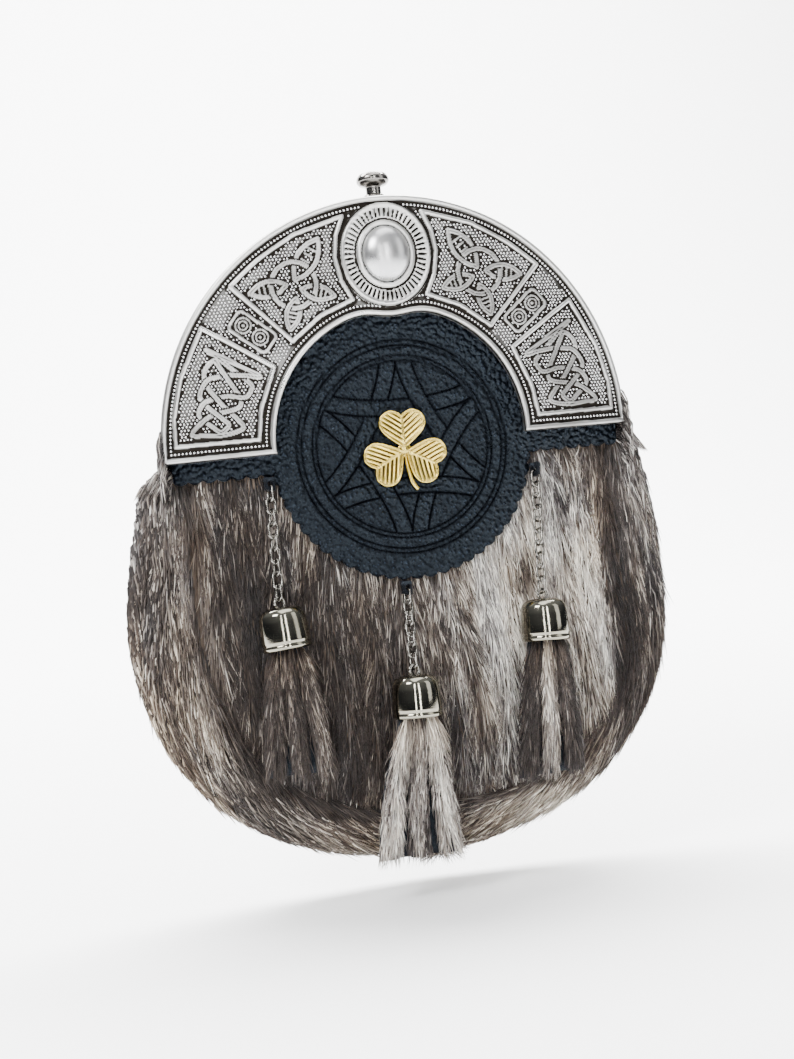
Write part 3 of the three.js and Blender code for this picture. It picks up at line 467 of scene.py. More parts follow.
def cantle_relief(x, z):
    """Height of the cantle's face above its ground, in mm, at plan points."""
    x = abs(x)
    edge = cantle_edge(x, z)
    height = np.zeros(x.shape)

    rim = edge_round(RIM_WIDTH / 2 - abs(edge - RIM_WIDTH / 2), 0.75)
    height = np.maximum(height, RIM_HEIGHT * rim)

    for corners in (LOWER_PANEL, UPPER_PANEL):
        d = nearest(np.array(corners + corners[:1]), x, z)[0]
        frame_line = edge_round(FRAME_WIDTH / 2 - d, 0.55)
        height = np.maximum(height, FRAME_HEIGHT * frame_line)
    knots = [[curve(np.array(row) + LOWER_KNOT_AT) for row in LOWER_KNOT],
             [path + UPPER_KNOT_AT for path in upper_knot_paths()]]
    for paths in knots:
        height = np.maximum(height, woven(paths, x, z, KNOT_WIDTH, KNOT_MOAT, band_profile))
    for tip, end in LEAF_TIPS:
        tip, end = np.array(tip) + UPPER_KNOT_AT, np.array(end) + UPPER_KNOT_AT
        along = tip - end
        across = np.array([-along[1], along[0]]) / np.hypot(*along)
        for share in (0.46, 0.6, 0.74):
            bar = np.array([end + along * share - across * 1.3, end + along * share + across * 1.3])
            d = nearest(bar, x, z)[0]
            height = np.maximum(height, 0.5 * edge_round(0.36 - d, 0.36))

    # the tablet between the panels, with two ringed bosses
    turn = math.radians(TABLET_DEGREES)
    dx, dz = x - TABLET_X, z - TABLET_Z
    u, v = dx * math.cos(turn) + dz * math.sin(turn), -dx * math.sin(turn) + dz * math.cos(turn)
    corner = np.hypot(np.maximum(abs(u) - 5.6, 0), np.maximum(abs(v) - 2.0, 0))
    box = np.maximum(np.maximum(abs(u) - 7.6, abs(v) - 4.0), corner - 2.0)
    height = np.maximum(height, 0.75 * edge_round(0.55 - abs(box + 0.4), 0.4))
    for middle in (-3.0, 3.6):
        ring = np.hypot(u - middle, v)
        for size, half in ((2.45, 0.34), (1.4, 0.3)):
            height = np.maximum(height, 0.7 * edge_round(half - abs(ring - size), 0.3))
        height = np.maximum(height, 0.75 * edge_round(0.55 - ring, 0.55))

    # the medallion lies on top of everything under it
    rim_oval = oval(x, z, 14.8, 16.7)
    height = np.where(rim_oval < 0.5, 0.25, height)
    height = np.where(rim_oval < 0, 1.35 * edge_round(-rim_oval, 0.8), height)
    height = np.where(oval(x, z, 13.9, 15.6) < 0, 1.0, height)
    rise = (z - MEDALLION[1]) / OVAL_TALL
    flute = abs(((np.arctan2(rise, x) / (2 * math.pi) * FLUTES) % 1) - 0.5) * 2
    across = flute * 2 * math.pi * np.hypot(x, rise) / FLUTES / 2
    outside, inside = oval(x, z, 13.5, 15.1), oval(x, z, 10.4, 11.9)
    slot = smoothstep(0.42, 0.22, across) * smoothstep(0, -0.3, outside) * smoothstep(0, 0.3, inside)
    height = height - 1.0 * slot
    groove = abs(oval(x, z, 10.0, 11.4)) < 0.32
    height = np.where(groove, 0.25, height)
    seat = oval(x, z, 9.7, 11.1)
    height = np.where(seat < 0, 1.2 * edge_round(np.minimum(-seat, seat + 2.2), 0.7), height)
    height = np.where(oval(x, z, 7.9, 9.25) < 0, 0.1, height)
    return height


def blurred(values, cells):
    """The mean of each value's neighbours, by two passes of a running mean each way."""
    for axis in (0, 1, 0, 1):
        padded = np.pad(values, [(cells, cells) if k == axis else (0, 0) for k in (0, 1)], "edge")
        total = np.cumsum(np.insert(padded, 0, 0, axis), axis)
        low = np.take(total, range(values.shape[axis]), axis)
        high = np.take(total, range(2 * cells + 1, 2 * cells + 1 + values.shape[axis]), axis)
        values = (high - low) / (2 * cells + 1)
    return values


def cavity(height, cells, depth):
    """0 on open faces and crests, 1 in narrow places that lie below what is round them."""
    return np.clip((blurred(height, cells) - height) / depth, 0, 1)


# %% [markdown]
# A material is built in two layers. The finish, where the colour, the roughness and the fine relief
# are worked out, is a node group that several materials share; the shader itself stays in each
# material. All the metals use one finish, tarnish: bright on what hands rub, dull in soft clouds,
# and black where a mesh attribute says that the surface lies deep.

# %% Shader helpers and metals
def node_group(name, inputs, outputs):
    """An empty shader group with named sockets: inputs as (name, kind, default)."""
    group = bpy.data.node_groups.new(name, "ShaderNodeTree")
    for key, kind, default in inputs:
        socket = group.interface.new_socket(key, in_out="INPUT", socket_type=kind)
        socket.default_value = default
    for key, kind in outputs:
        group.interface.new_socket(key, in_out="OUTPUT", socket_type=kind)
    return group, group.nodes.new("NodeGroupInput"), group.nodes.new("NodeGroupOutput")


def node(tree, kind, links=None, **values):
    """A node with its settings, and its inputs set or linked by name or number."""
    made = tree.nodes.new(kind)
    for key, value in values.items():
        setattr(made, key, value)
    for key, value in (links or {}).items():
        if isinstance(value, bpy.types.NodeSocket):
            tree.links.new(value, made.inputs[key])
        else:
            made.inputs[key].default_value = value
    return made


def ramp(tree, fac, stops):
    made = node(tree, "ShaderNodeValToRGB", {"Fac": fac})
    elements = made.color_ramp.elements
    while len(elements) > 1:
        elements.remove(elements[-1])
    for i, (stop, colour) in enumerate(stops):
        element = elements[0] if i == 0 else elements.new(stop)
        element.position = stop
        element.color = (*colour, 1)
    return made.outputs["Color"]


def mixed(tree, fac, a, b):
    made = node(tree, "ShaderNodeMix", data_type="RGBA")
    for socket, value in ((made.inputs[0], fac), (made.inputs[6], a), (made.inputs[7], b)):
        if isinstance(value, bpy.types.NodeSocket):
            tree.links.new(value, socket)
        else:
            socket.default_value = value if socket == made.inputs[0] else (*value, 1)
    return made.outputs[2]


def maths(tree, operation, a, b=0.0, clamp=False):
    made = node(tree, "ShaderNodeMath", {0: a, 1: b}, operation=operation)
    made.use_clamp = clamp
    return made.outputs[0]


def joined_up(group, exit_, colour, rough, relief):
    """The group with its three results linked to its outputs."""
    for key, result in (("Color", colour), ("Roughness", rough), ("Normal", relief.outputs["Normal"])):
        group.links.new(result, exit_.inputs[key])
    return group


def dressed(tree, shader, group, values):
    """A finish group in a material: its inputs set, its outputs linked to the shader."""
    finish = node(tree, "ShaderNodeGroup", node_tree=group)
    for key, value in values.items():
        finish.inputs[key].default_value = (*value, 1) if isinstance(value, tuple) else value
    for key, socket in (("Color", "Base Color"), ("Roughness", "Roughness"), ("Normal", "Normal")):
        tree.links.new(finish.outputs[key], shader.inputs[socket])
    return finish


def fresh_material(name):
    material = bpy.data.materials.new(name)
    material.use_nodes = True
    tree = material.node_tree
    shader = tree.nodes["Principled BSDF"]
    return material, tree, shader


def object_noise(tree, scale, detail=2.0, roughness=0.5):
    """Noise in Object coordinates, so that it stays on the piece at every pose."""
    spot = node(tree, "ShaderNodeTexCoord").outputs["Object"]
    return node(tree, "ShaderNodeTexNoise", {"Vector": spot, "Scale": scale, "Detail": detail,
                                             "Roughness": roughness}).outputs["Fac"]


def tarnish_group():
    """Tarnish on metal: bright on the crests, blackened in the grooves, clouded by handling."""
    group, entry, exit_ = node_group(
        "tarnish",
        [("Recess", "NodeSocketFloat", 0.0), ("Bright", "NodeSocketColor", (0.7, 0.7, 0.68, 1)),
         ("Dull", "NodeSocketColor", (0.3, 0.28, 0.25, 1)),
         ("Black", "NodeSocketColor", (0.02, 0.02, 0.02, 1)),
         ("Cloud Scale", "NodeSocketFloat", 60.0), ("Softness", "NodeSocketFloat", 0.0)],
        [("Color", "NodeSocketColor"), ("Roughness", "NodeSocketFloat"), ("Normal", "NodeSocketVector")])
    cloud = object_noise(group, entry.outputs["Cloud Scale"], 4.0, 0.6)
    fine = object_noise(group, 2600.0)
    worn = maths(group, "ADD", entry.outputs["Recess"], maths(group, "MULTIPLY", maths(
        group, "SUBTRACT", cloud, 0.5), 0.5))
    dull = mixed(group, maths(group, "MULTIPLY", cloud, 0.8, True), entry.outputs["Bright"],
                 entry.outputs["Dull"])
    depth = node(group, "ShaderNodeMapRange", {"Value": worn, "From Min": 0.35, "From Max": 0.95,
                                               "To Min": 0.0, "To Max": 1.0}, interpolation_type="SMOOTHSTEP")
    colour = mixed(group, depth.outputs[0], dull, entry.outputs["Black"])
    rough = maths(group, "ADD", maths(group, "MULTIPLY", depth.outputs[0], 0.3), maths(
        group, "MULTIPLY", cloud, 0.25))
    rough = maths(group, "ADD", rough, maths(group, "ADD", entry.outputs["Softness"], 0.06))
    relief = node(group, "ShaderNodeBump", {"Strength": 0.12, "Distance": 0.0001, "Height": fine})
    return joined_up(group, exit_, colour, rough, relief)


TARNISH = tarnish_group()


def metal_material(name, bright, dull, black=(0.02, 0.02, 0.02), cloud=60.0, recess=None, softness=0.0):
    """A metal in the tarnish finish; recess names the attribute that says how deep a place lies."""
    material, tree, shader = fresh_material(name)
    finish = dressed(tree, shader, TARNISH, {"Bright": bright, "Dull": dull, "Black": black,
                                             "Cloud Scale": cloud, "Softness": softness})
    if recess:
        mask = node(tree, "ShaderNodeAttribute", attribute_name=recess)
        tree.links.new(mask.outputs["Fac"], finish.inputs["Recess"])
    shader.inputs["Metallic"].default_value = 1.0
    return material


ANTIQUE_SILVER = metal_material("antique_silver", (0.60, 0.60, 0.59), (0.34, 0.33, 0.31),
                                (0.014, 0.012, 0.010), 45.0, "recess", 0.12)
BRIGHT_SILVER = metal_material("polished_silver", (0.60, 0.61, 0.61), (0.38, 0.37, 0.36), (0.05, 0.05, 0.05))
SATIN_SILVER = metal_material("satin_silver", (0.62, 0.63, 0.64), (0.40, 0.39, 0.38), (0.05, 0.05, 0.05),
                              softness=0.1)
GUNMETAL = metal_material("dark_nickel", (0.26, 0.25, 0.24), (0.12, 0.11, 0.095), cloud=90.0)
LINK_METAL = metal_material("chain_nickel", (0.27, 0.26, 0.24), (0.05, 0.045, 0.035), cloud=150.0)
BELL_METAL = metal_material("bell_nickel", (0.33, 0.315, 0.26), (0.07, 0.06, 0.035), cloud=70.0, softness=-0.09)
GOLD = metal_material("satin_gold", (0.64, 0.50, 0.13), (0.34, 0.235, 0.045), (0.035, 0.02, 0.005), 120.0,
                      "recess", 0.06)
print("metals share the group", TARNISH.name)

# %% [markdown]
# The cantle's face is a grid over the arch, pushed forward by the relief, and closed by a plain back
# plate. The same relief says where the tarnish sits: in the ground between the dots, darkest along
# the row of beads, and in every narrow groove. The face is also made darker towards its two low ends
# and towards its right end.

# %% Cantle
CANTLE_ROWS, CANTLE_COLUMNS = 122, 560
GROUND_BLACK, KNOT_BLACK, BEAD_BLACK = 0.80, 0.55, 0.97


def build_cantle():
    share = np.linspace(0, 1, CANTLE_ROWS)[:, None]
    u = np.linspace(0, 1, CANTLE_COLUMNS)[None]
    radius = INNER_R + CANTLE_BAND * share
    end = np.degrees(np.arcsin(CANTLE_DROP / radius))
    angle = np.radians(180 + end + (-180 - 2 * end) * u)
    x = radius * np.cos(angle)
    plan_z = radius * np.sin(angle)
    z = plan_z - bump(x) * (1 - share) * (plan_z > 0)
    height = cantle_relief(x, z)
    front = np.stack([x, GROUND - height + bow(x), z], -1)
    flat = height < 0.12
    # darker towards the two low ends and towards the right end
    ends = 0.46 * smoothstep(26, -8, z) + 0.14 * smoothstep(15, 70, x)
    recess = np.maximum(GROUND_BLACK * flat, KNOT_BLACK * ((height > 0.2) & (height < 0.8)))
    beads_near = smoothstep(1.1, 0.7, abs(cantle_edge(x, plan_z) - BEAD_INSET))
    recess = np.maximum(recess, BEAD_BLACK * flat * beads_near)
    recess = np.maximum(recess, ends * ~flat) + 0.15 * ends
    recess = np.clip(recess + 1.1 * cavity(height, 2, 0.42), 0, 1)
    back = np.stack([x, PLATE_BACK + bow(x), z], -1)[[0, -1]]
    rows, columns = x.shape
    count = rows * columns
    points = np.concatenate([front.reshape(-1, 3), back.reshape(-1, 3)])
    shade = np.concatenate([recess.ravel(), np.zeros(2 * columns)])
    faces = [tuple(face) for face in grid_faces(rows, columns)]
    low, high = count, count + columns
    for i in range(columns - 1):
        faces.append((low + i, high + i, high + i + 1, low + i + 1))
        faces.append((i + 1, i, low + i, low + i + 1))
        top = (rows - 1) * columns + i
        faces.append((top, top + 1, high + i + 1, high + i))
    left = [j * columns for j in range(rows)]
    right = [j * columns + columns - 1 for j in range(rows)]
    faces.append((*left, high, low))
    faces.append((*right[::-1], low + columns - 1, high + columns - 1))
    return add_mesh("cantle_face", points, faces, ANTIQUE_SILVER, attributes={"recess": shade})


cantle = build_cantle()
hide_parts("cantle")
print("cantle face", len(cantle.data.polygons), "faces")

# %% [markdown]
# The cantle carries about nineteen hundred tiny raised dots: rows of beads along its rims, and the
# stipple that fills the ground. They repeat, so Geometry Nodes set them: a cloud of points carries
# each dot's size, and the tree puts a small ball of few faces on every point. The tree ends with
# real geometry and a material, so that the result can be taken off as a plain mesh.

# %% A tree that sets one small form on every point
def instance_tree(name, make_form, material, inputs=()):
    """Points with 'size' (vector) and 'turn' (vector of angles) each get a copy of a form."""
    tree = bpy.data.node_groups.new(name, "GeometryNodeTree")
    tree.interface.new_socket("Geometry", in_out="INPUT", socket_type="NodeSocketGeometry")
    for key, default in inputs:
        socket = tree.interface.new_socket(key, in_out="INPUT", socket_type="NodeSocketFloat")
        socket.default_value = default
    tree.interface.new_socket("Geometry", in_out="OUTPUT", socket_type="NodeSocketGeometry")
    entry, exit_ = tree.nodes.new("NodeGroupInput"), tree.nodes.new("NodeGroupOutput")
    size = node(tree, "GeometryNodeInputNamedAttribute", {"Name": "size"}, data_type="FLOAT_VECTOR")
    turn = node(tree, "GeometryNodeInputNamedAttribute", {"Name": "turn"}, data_type="FLOAT_VECTOR")
    spots = node(tree, "GeometryNodeMeshToPoints", {"Mesh": entry.outputs["Geometry"]})
    form = make_form(tree, entry)
    placed = node(tree, "GeometryNodeInstanceOnPoints", {
        "Points": spots.outputs["Points"], "Instance": form, "Rotation": turn.outputs["Attribute"],
        "Scale": size.outputs["Attribute"]})
    real = node(tree, "GeometryNodeRealizeInstances", {"Geometry": placed.outputs["Instances"]})
    smooth = node(tree, "GeometryNodeSetShadeSmooth", {"Geometry": real.outputs["Geometry"]})
    coat = node(tree, "GeometryNodeSetMaterial", {"Geometry": smooth.outputs["Geometry"],
                                                  "Material": material})
    tree.links.new(coat.outputs["Geometry"], exit_.inputs["Geometry"])
    return tree


def scatter(name, tree, points, sizes, turns=None, values=None, settings=None):
    """Run a tree over points (mm) and keep the result as one plain mesh on the pouch."""
    points = np.asarray(points, float)
    cloud = bpy.data.meshes.new(name + "_points")
    cloud.from_pydata(place(points).tolist(), [], [])
    sizes = np.broadcast_to(np.asarray(sizes, float).reshape(len(points) if np.ndim(sizes) else 1, -1),
                            (len(points), 3)) * MM
    turns = np.zeros((len(points), 3)) if turns is None else np.asarray(turns, float)
    for key, data in (("size", sizes), ("turn", turns)):
        layer = cloud.attributes.new(key, "FLOAT_VECTOR", "POINT")
        layer.data.foreach_set("vector", np.ascontiguousarray(data, np.float32).ravel())
    for key, data in (values or {}).items():
        layer = cloud.attributes.new(key, "FLOAT", "POINT")
        layer.data.foreach_set("value", np.asarray(data, np.float32))
    holder = bpy.data.objects.new(name + "_holder", cloud)
    bpy.context.scene.collection.objects.link(holder)
    modifier = holder.modifiers.new("set", "NODES")
    modifier.node_group = tree
    names = {item.name: item.identifier for item in tree.interface.items_tree
             if item.item_type == "SOCKET" and item.in_out == "INPUT"}
    for key, value in (settings or {}).items():
        modifier[names[key]] = value
    graph = bpy.context.evaluated_depsgraph_get()
    mesh = bpy.data.meshes.new_from_object(holder.evaluated_get(graph), depsgraph=graph)
    holder.modifiers.clear()
    bpy.data.objects.remove(holder)
    mesh.name = name
    piece = bpy.data.objects.new(name, mesh)
    bpy.context.scene.collection.objects.link(piece)
    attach(piece, POUCH)
    return piece


def ball_form(subdivisions):
    """A form function for a ball: 1 gives 20 faces, 2 gives 80."""
    return lambda tree, entry: node(tree, "GeometryNodeMeshIcoSphere",
                                    {"Radius": 1.0, "Subdivisions": subdivisions}).outputs["Mesh"]


# %% [markdown]
# The beads follow the rims at an even pitch. The stipple is a loose hexagonal field over the whole
# arch, of which only the dots on open ground are kept: the relief is asked at each dot and round it.

# %% Beads and stipple of the cantle
def spaced(path, pitch):
    """Points along a path at an even pitch."""
    step = np.hypot(*np.diff(path, axis=0).T)
    at = np.concatenate([[0], np.cumsum(step)])
    count = max(2, int(round(at[-1] / pitch)))
    where = np.linspace(0, at[-1], count + 1)
    return np.stack([np.interp(where, at, path[:, k]) for k in (0, 1)], -1)


def cantle_point(plan, height):
    x, z = plan[:, 0], plan[:, 1]
    return np.stack([x, GROUND - height + bow(x), z], -1)


def bead_rows():
    low = -CANTLE_DROP + BEAD_INSET
    outer_r, inner_r = CANTLE_R - BEAD_INSET, INNER_R + BEAD_INSET
    rows = []
    for radius in (outer_r, inner_r):
        start = math.degrees(math.asin(low / radius))
        arc = polar(radius, np.linspace(start, 180 - start, 400))
        arc[:, 1] -= bump(arc[:, 0]) * (radius == inner_r)
        rows.append(spaced(arc, BEAD_PITCH))
    for side in (-1, 1):
        rows.append(spaced(np.array([(side * inner_r, low), (side * outer_r, low)]), BEAD_PITCH)[1:-1])
    plan = np.concatenate(rows)
    return plan[oval(plan[:, 0], plan[:, 1], 15.2, 17.1) > 0]


STIPPLE_PITCH, STIPPLE_RADIUS = 1.16, 0.53


def stipple_points():
    """A loose hexagonal field of dots over the open ground of the cantle."""
    rng = np.random.default_rng(11)
    pitch = STIPPLE_PITCH
    rows = np.arange(-3, 78, pitch * 0.87)
    points = []
    for k, z in enumerate(rows):
        x = np.arange(-78, 78, pitch) + (k % 2) * pitch / 2
        points.append(np.stack([x, np.full(x.shape, z)], -1))
    plan = np.concatenate(points) + rng.normal(0, 0.06, (sum(map(len, points)), 2))
    x, z = plan.T
    keep = (cantle_edge(x, z) > BEAD_INSET + 1.25) & (oval(x, z, 15.6, 17.5) > 0)
    plan = plan[keep]
    steps = [(0, 0), (0.42, 0), (-0.42, 0), (0, 0.42), (0, -0.42)]
    crowd = np.max([cantle_relief(plan[:, 0] + dx, plan[:, 1] + dz) for dx, dz in steps], axis=0)
    return plan[crowd < 0.1]


BEAD_TREE = instance_tree("beads", ball_form(2), BRIGHT_SILVER)
SPECK_TREE = instance_tree("stipple", ball_form(1), BRIGHT_SILVER)
beads = bead_rows()
scatter("cantle_beads", BEAD_TREE, cantle_point(beads, 0.28), BEAD_RADIUS)
specks = stipple_points()
scatter("cantle_stipple", SPECK_TREE, cantle_point(specks, 0.0), STIPPLE_RADIUS)
print(len(beads), "beads and", len(specks), "dots of stipple")

# %% [markdown]
# Turned pieces, such as the dome, the bells and the push knob, are one profile swept round an
# axis. One helper makes all of them: it closes the profile on the axis, so that the surface is a
# single skin, and it can stretch the round form to an oval.

# %% Turned pieces
def turned(profile, sides, stretch=(1.0, 1.0)):
    """Points and faces of a profile of (radius, height) rows turned round Z; both ends on the axis."""
    rings = [row for row in profile if row[0] > 1e-9]
    angle = np.arange(sides) * 2 * math.pi / sides
    wide, deep = stretch
    points = [(r * math.cos(a) * wide, r * math.sin(a) * deep, h) for r, h in rings for a in angle]
    points += [(0, 0, profile[0][1]), (0, 0, profile[-1][1])]
    return np.array(points, float), capped_rings(len(rings), sides)


def turn_piece(name, profile, sides, matrix, material, body=POUCH, stretch=(1.0, 1.0)):
    points, faces = turned(profile, sides, stretch)
    faces = outward(points, faces)
    points = points @ np.array(matrix)[:3, :3].T + np.array(matrix)[:3, 3]
    return add_mesh(name, points, faces, material, body)


def soft_corners(profile, bevel=0.35, cuts=3):
    """Round each corner of a profile by a short arc."""
    rows = [profile[0]]
    for before, here, after in zip(profile, profile[1:], profile[2:]):
        before, here, after = (np.array(p, float) for p in (before, here, after))
        a, b = before - here, after - here
        reach = min(bevel, np.hypot(*a) * 0.45, np.hypot(*b) * 0.45)
        start, end = here + a / np.hypot(*a) * reach, here + b / np.hypot(*b) * reach
        for t in np.linspace(0, 1, cuts + 1):
            rows.append(tuple((1 - t) ** 2 * start + 2 * t * (1 - t) * here + t * t * end))
    rows.append(profile[-1])
    return rows


# %% [markdown]
# The medallion's dome is half round in section, stretched to an oval, on a short plain foot.

# %% The medallion's dome
DOME_HALF = (7.7, 9.0)
DOME_RISE = 4.3


def build_dome():
    rows = [(math.sin(t), DOME_RISE * math.cos(t) ** 1.15) for t in np.linspace(0, math.pi / 2, 22)]
    rows += [(1.0, -0.55), (0.0, -0.55)]
    face = Matrix(((1, 0, 0, 0), (0, 0, -1, 0.5), (0, 1, 0, MEDALLION[1]), (0, 0, 0, 1)))
    return turn_piece("medallion_boss", rows, 64, face, SATIN_SILVER, stretch=DOME_HALF)


dome = build_dome()
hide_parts("medallion_dome")
print("dome", len(dome.data.polygons), "faces")

# %% [markdown]
# The push knob stands on the cantle's top. It is the one piece on the body "knob", and it slides
# down into its collar, which stays on the pouch.

# %% Push knob and its collar
KNOB_AT = Matrix.Translation((0, 12.0, CANTLE_R))
STEM_R, CUP_R = 2.5, 3.6
STEM_FOOT, KNOB_UNDER = -2.0, 5.4
KNOB_PROFILE = [(0, STEM_FOOT), (STEM_R, STEM_FOOT), (STEM_R, KNOB_UNDER - 0.2), (3.2, KNOB_UNDER),
                (4.6, KNOB_UNDER + 0.4), (5.4, KNOB_UNDER + 1.5), (5.3, KNOB_UNDER + 2.7),
                (4.5, KNOB_UNDER + 3.9), (2.6, KNOB_UNDER + 4.5), (0, KNOB_UNDER + 4.6)]
COLLAR_PROFILE = [(0, -5.7), (CUP_R, -5.7), (CUP_R, 0.0), (3.8, 0.0), (3.8, 1.0), (3.45, 1.2), (3.75, 1.5),
                  (3.2, 2.5), (2.8, 2.5), (2.8, -4.9), (0, -4.9)]
knob = turn_piece("push_knob", soft_corners(KNOB_PROFILE), 48, KNOB_AT, GUNMETAL, body="knob")
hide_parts("catch_knob")
collar = turn_piece("knob_collar", soft_corners(COLLAR_PROFILE, 0.15, 2), 48, KNOB_AT, GUNMETAL)
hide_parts("catch_collar")
print("knob", len(knob.data.polygons), "faces; collar", len(collar.data.polygons))

# %% [markdown]
# The pouch is a front hide and a deep gusset, sewn together along one rounded seam, both with the
# hair on. The skins are closed shells of their own, dark where they show between the hairs. The
# seam is the line that everything hangs on, so it is worked out first, at an even pace.

# %% The seam and the two hides
SEAM_HALF, SHOULDER_Z, SEAM_POWER = 70.5, -45.0, 2.46
SEAM_LOW = POUCH_DROP + SHOULDER_Z
SEAM_GAP, TUCK = 0.45, 0.8
# share of the seam from an end, and how far the gusset stands out there on the left and on the right
GUSSET_ROWS = np.array([
    (0.00, 12.0, 11.2), (0.03, 14.1, 13.1), (0.06, 15.4, 14.6), (0.10, 18.4, 15.4), (0.14, 20.6, 16.2),
    (0.19, 21.0, 15.8), (0.24, 20.8, 15.0), (0.30, 19.3, 14.6), (0.35, 17.8, 14.4), (0.40, 16.9, 14.6),
    (0.45, 16.8, 15.3), (0.50, 17.2, 17.2)])


def seam_table(count=900):
    turn = np.linspace(0, math.pi, count)
    x = -SEAM_HALF * np.sign(np.cos(turn)) * abs(np.cos(turn)) ** (2 / SEAM_POWER)
    z = SHOULDER_Z - SEAM_LOW * np.sin(turn) ** (2 / SEAM_POWER)
    line = np.vstack([[(-SEAM_HALF, POUCH_TOP)], np.stack([x, z], -1), [(SEAM_HALF, POUCH_TOP)]])
    at = np.concatenate([[0], np.cumsum(np.hypot(*np.diff(line, axis=0).T))])
    return line, at


SEAM_LINE, SEAM_AT = seam_table()
SEAM_LENGTH = SEAM_AT[-1]


def seam(t):
    """The seam's point and its outward direction at shares t of its length, left to right."""
    at = np.asarray(t) * SEAM_LENGTH
    x, z = (np.interp(at, SEAM_AT, SEAM_LINE[:, k]) for k in (0, 1))
    reach = 4.0
    ahead, behind = np.clip(at + reach, 0, SEAM_LENGTH), np.clip(at - reach, 0, SEAM_LENGTH)
    dx, dz = (np.interp(ahead, SEAM_AT, SEAM_LINE[:, k]) - np.interp(behind, SEAM_AT, SEAM_LINE[:, k])
              for k in (0, 1))
    length = np.hypot(dx, dz)
    return x, z, dz / length, -dx / length


def gusset_point(t, v, inset=0.0):
    """The gusset's skin: t along the seam, v from its front edge to its back edge."""
    x, z, away_x, away_z = seam(t)
    front, back = hide_depth(x, z) + inset, BACK_Y - inset
    share = np.concatenate([GUSSET_ROWS[:, 0], 1 - GUSSET_ROWS[-2::-1, 0]])
    rows = np.concatenate([GUSSET_ROWS[:, 1], GUSSET_ROWS[-2::-1, 2]])
    reach = np.mean([np.interp(t + step, share, rows) for step in (-0.04, -0.02, 0, 0.02, 0.04)], axis=0)
    out = (reach - inset) * np.sin(math.pi * v)
    depth = front + (back - front) * (0.5 - 0.5 * np.cos(math.pi * v))
    return np.stack([x + away_x * out, depth, z + away_z * out * (np.minimum(t, 1 - t) > 0.001)], -1)


def build_gusset_skin():
    t, v = np.meshgrid(np.linspace(0, 1, 121), np.linspace(0, 1, 17))
    points, faces = slab_from_grids(gusset_point(t, v), gusset_point(t, v, HIDE))
    return add_mesh("gusset_skin", points, outward(points, faces), SKIN)


def front_half_width(z, gap=SEAM_GAP):
    low = np.clip((SHOULDER_Z - z) / SEAM_LOW, 0, 1)
    return (SEAM_HALF - gap) * np.clip(1 - low ** SEAM_POWER, 0, 1) ** (1 / SEAM_POWER)


def build_front_skin():
    foot = -100 - 18.2 * np.sin(np.linspace(0.1, 1.55, 16))
    levels = np.concatenate([[17.0], np.linspace(-6, -100, 40), foot])
    share, z = np.meshgrid(np.linspace(-1, 1, 41), levels)
    x = share * np.maximum(front_half_width(z, -TUCK), 0.6)
    front = np.stack([x, hide_depth(x, z) + TUCK * smoothstep(0.93, 1, abs(share)), z], -1)
    points, faces = slab_from_grids(front, front + [0, HIDE, 0])
    return add_mesh("front_skin", points, outward(points, faces), SKIN)


def skin_material():
    material, tree, shader = fresh_material("dark_hide")
    colour = ramp(tree, object_noise(tree, 120.0, 4.0),
                  [(0.3, (0.022, 0.015, 0.011)), (0.7, (0.075, 0.052, 0.036))])
    tree.links.new(colour, shader.inputs["Base Color"])
    rough = maths(tree, "ADD", maths(tree, "MULTIPLY", object_noise(tree, 300.0), 0.2), 0.7)
    tree.links.new(rough, shader.inputs["Roughness"])
    return material


SKIN = skin_material()
gusset_skin, front_skin = build_gusset_skin(), build_front_skin()
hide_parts("fur_gusset")
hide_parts("fur_front")
print("seam", round(float(SEAM_LENGTH)), "mm long")

# %% [markdown]
# Hair is the same small thing many thousand times: one tapered strand of ten faces, curved so that
# it springs off the skin and lies down again. Geometry Nodes set the strands; numpy says where
# each one grows, which way it lies and what tone it has. Neighbours lean together in soft clumps,
# and the tone is drawn out along the hair, so the coat shows streaks rather than spots.

# %% One strand
def strand_form(tree, entry):
    """A closed tapered strand from 0 to 1 along Z, 1 wide, rising off the skin towards +Y."""
    cone = node(tree, "GeometryNodeMeshCone", {
        "Vertices": 3, "Side Segments": 2, "Fill Segments": 1, "Radius Top": 0.0,
        "Radius Bottom": 0.5, "Depth": 1.0}).outputs["Mesh"]
    spot = node(tree, "ShaderNodeSeparateXYZ", {0: node(tree, "GeometryNodeInputPosition").outputs[0]})
    x, y, z = (spot.outputs[k] for k in "XYZ")
    fuller = maths(tree, "ADD", maths(tree, "MULTIPLY", z, 1.5), 1.0)
    arch = maths(tree, "SUBTRACT", maths(tree, "MULTIPLY", z, 2.9),
                 maths(tree, "MULTIPLY", maths(tree, "MULTIPLY", z, z), 2.25))
    thick = maths(tree, "MULTIPLY", maths(tree, "MULTIPLY", y, fuller), 0.35)
    lifted = maths(tree, "ADD", thick, maths(tree, "SUBTRACT", arch, 0.35))
    bent = node(tree, "ShaderNodeCombineXYZ", {"X": maths(tree, "MULTIPLY", x, fuller), "Y": lifted, "Z": z})
    moved = node(tree, "GeometryNodeSetPosition", {"Geometry": cone, "Position": bent.outputs[0]})
    store = node(tree, "GeometryNodeStoreNamedAttribute",
                 {"Geometry": moved.outputs["Geometry"], "Name": "tip", "Value": z}, data_type="FLOAT")
    return store.outputs["Geometry"]


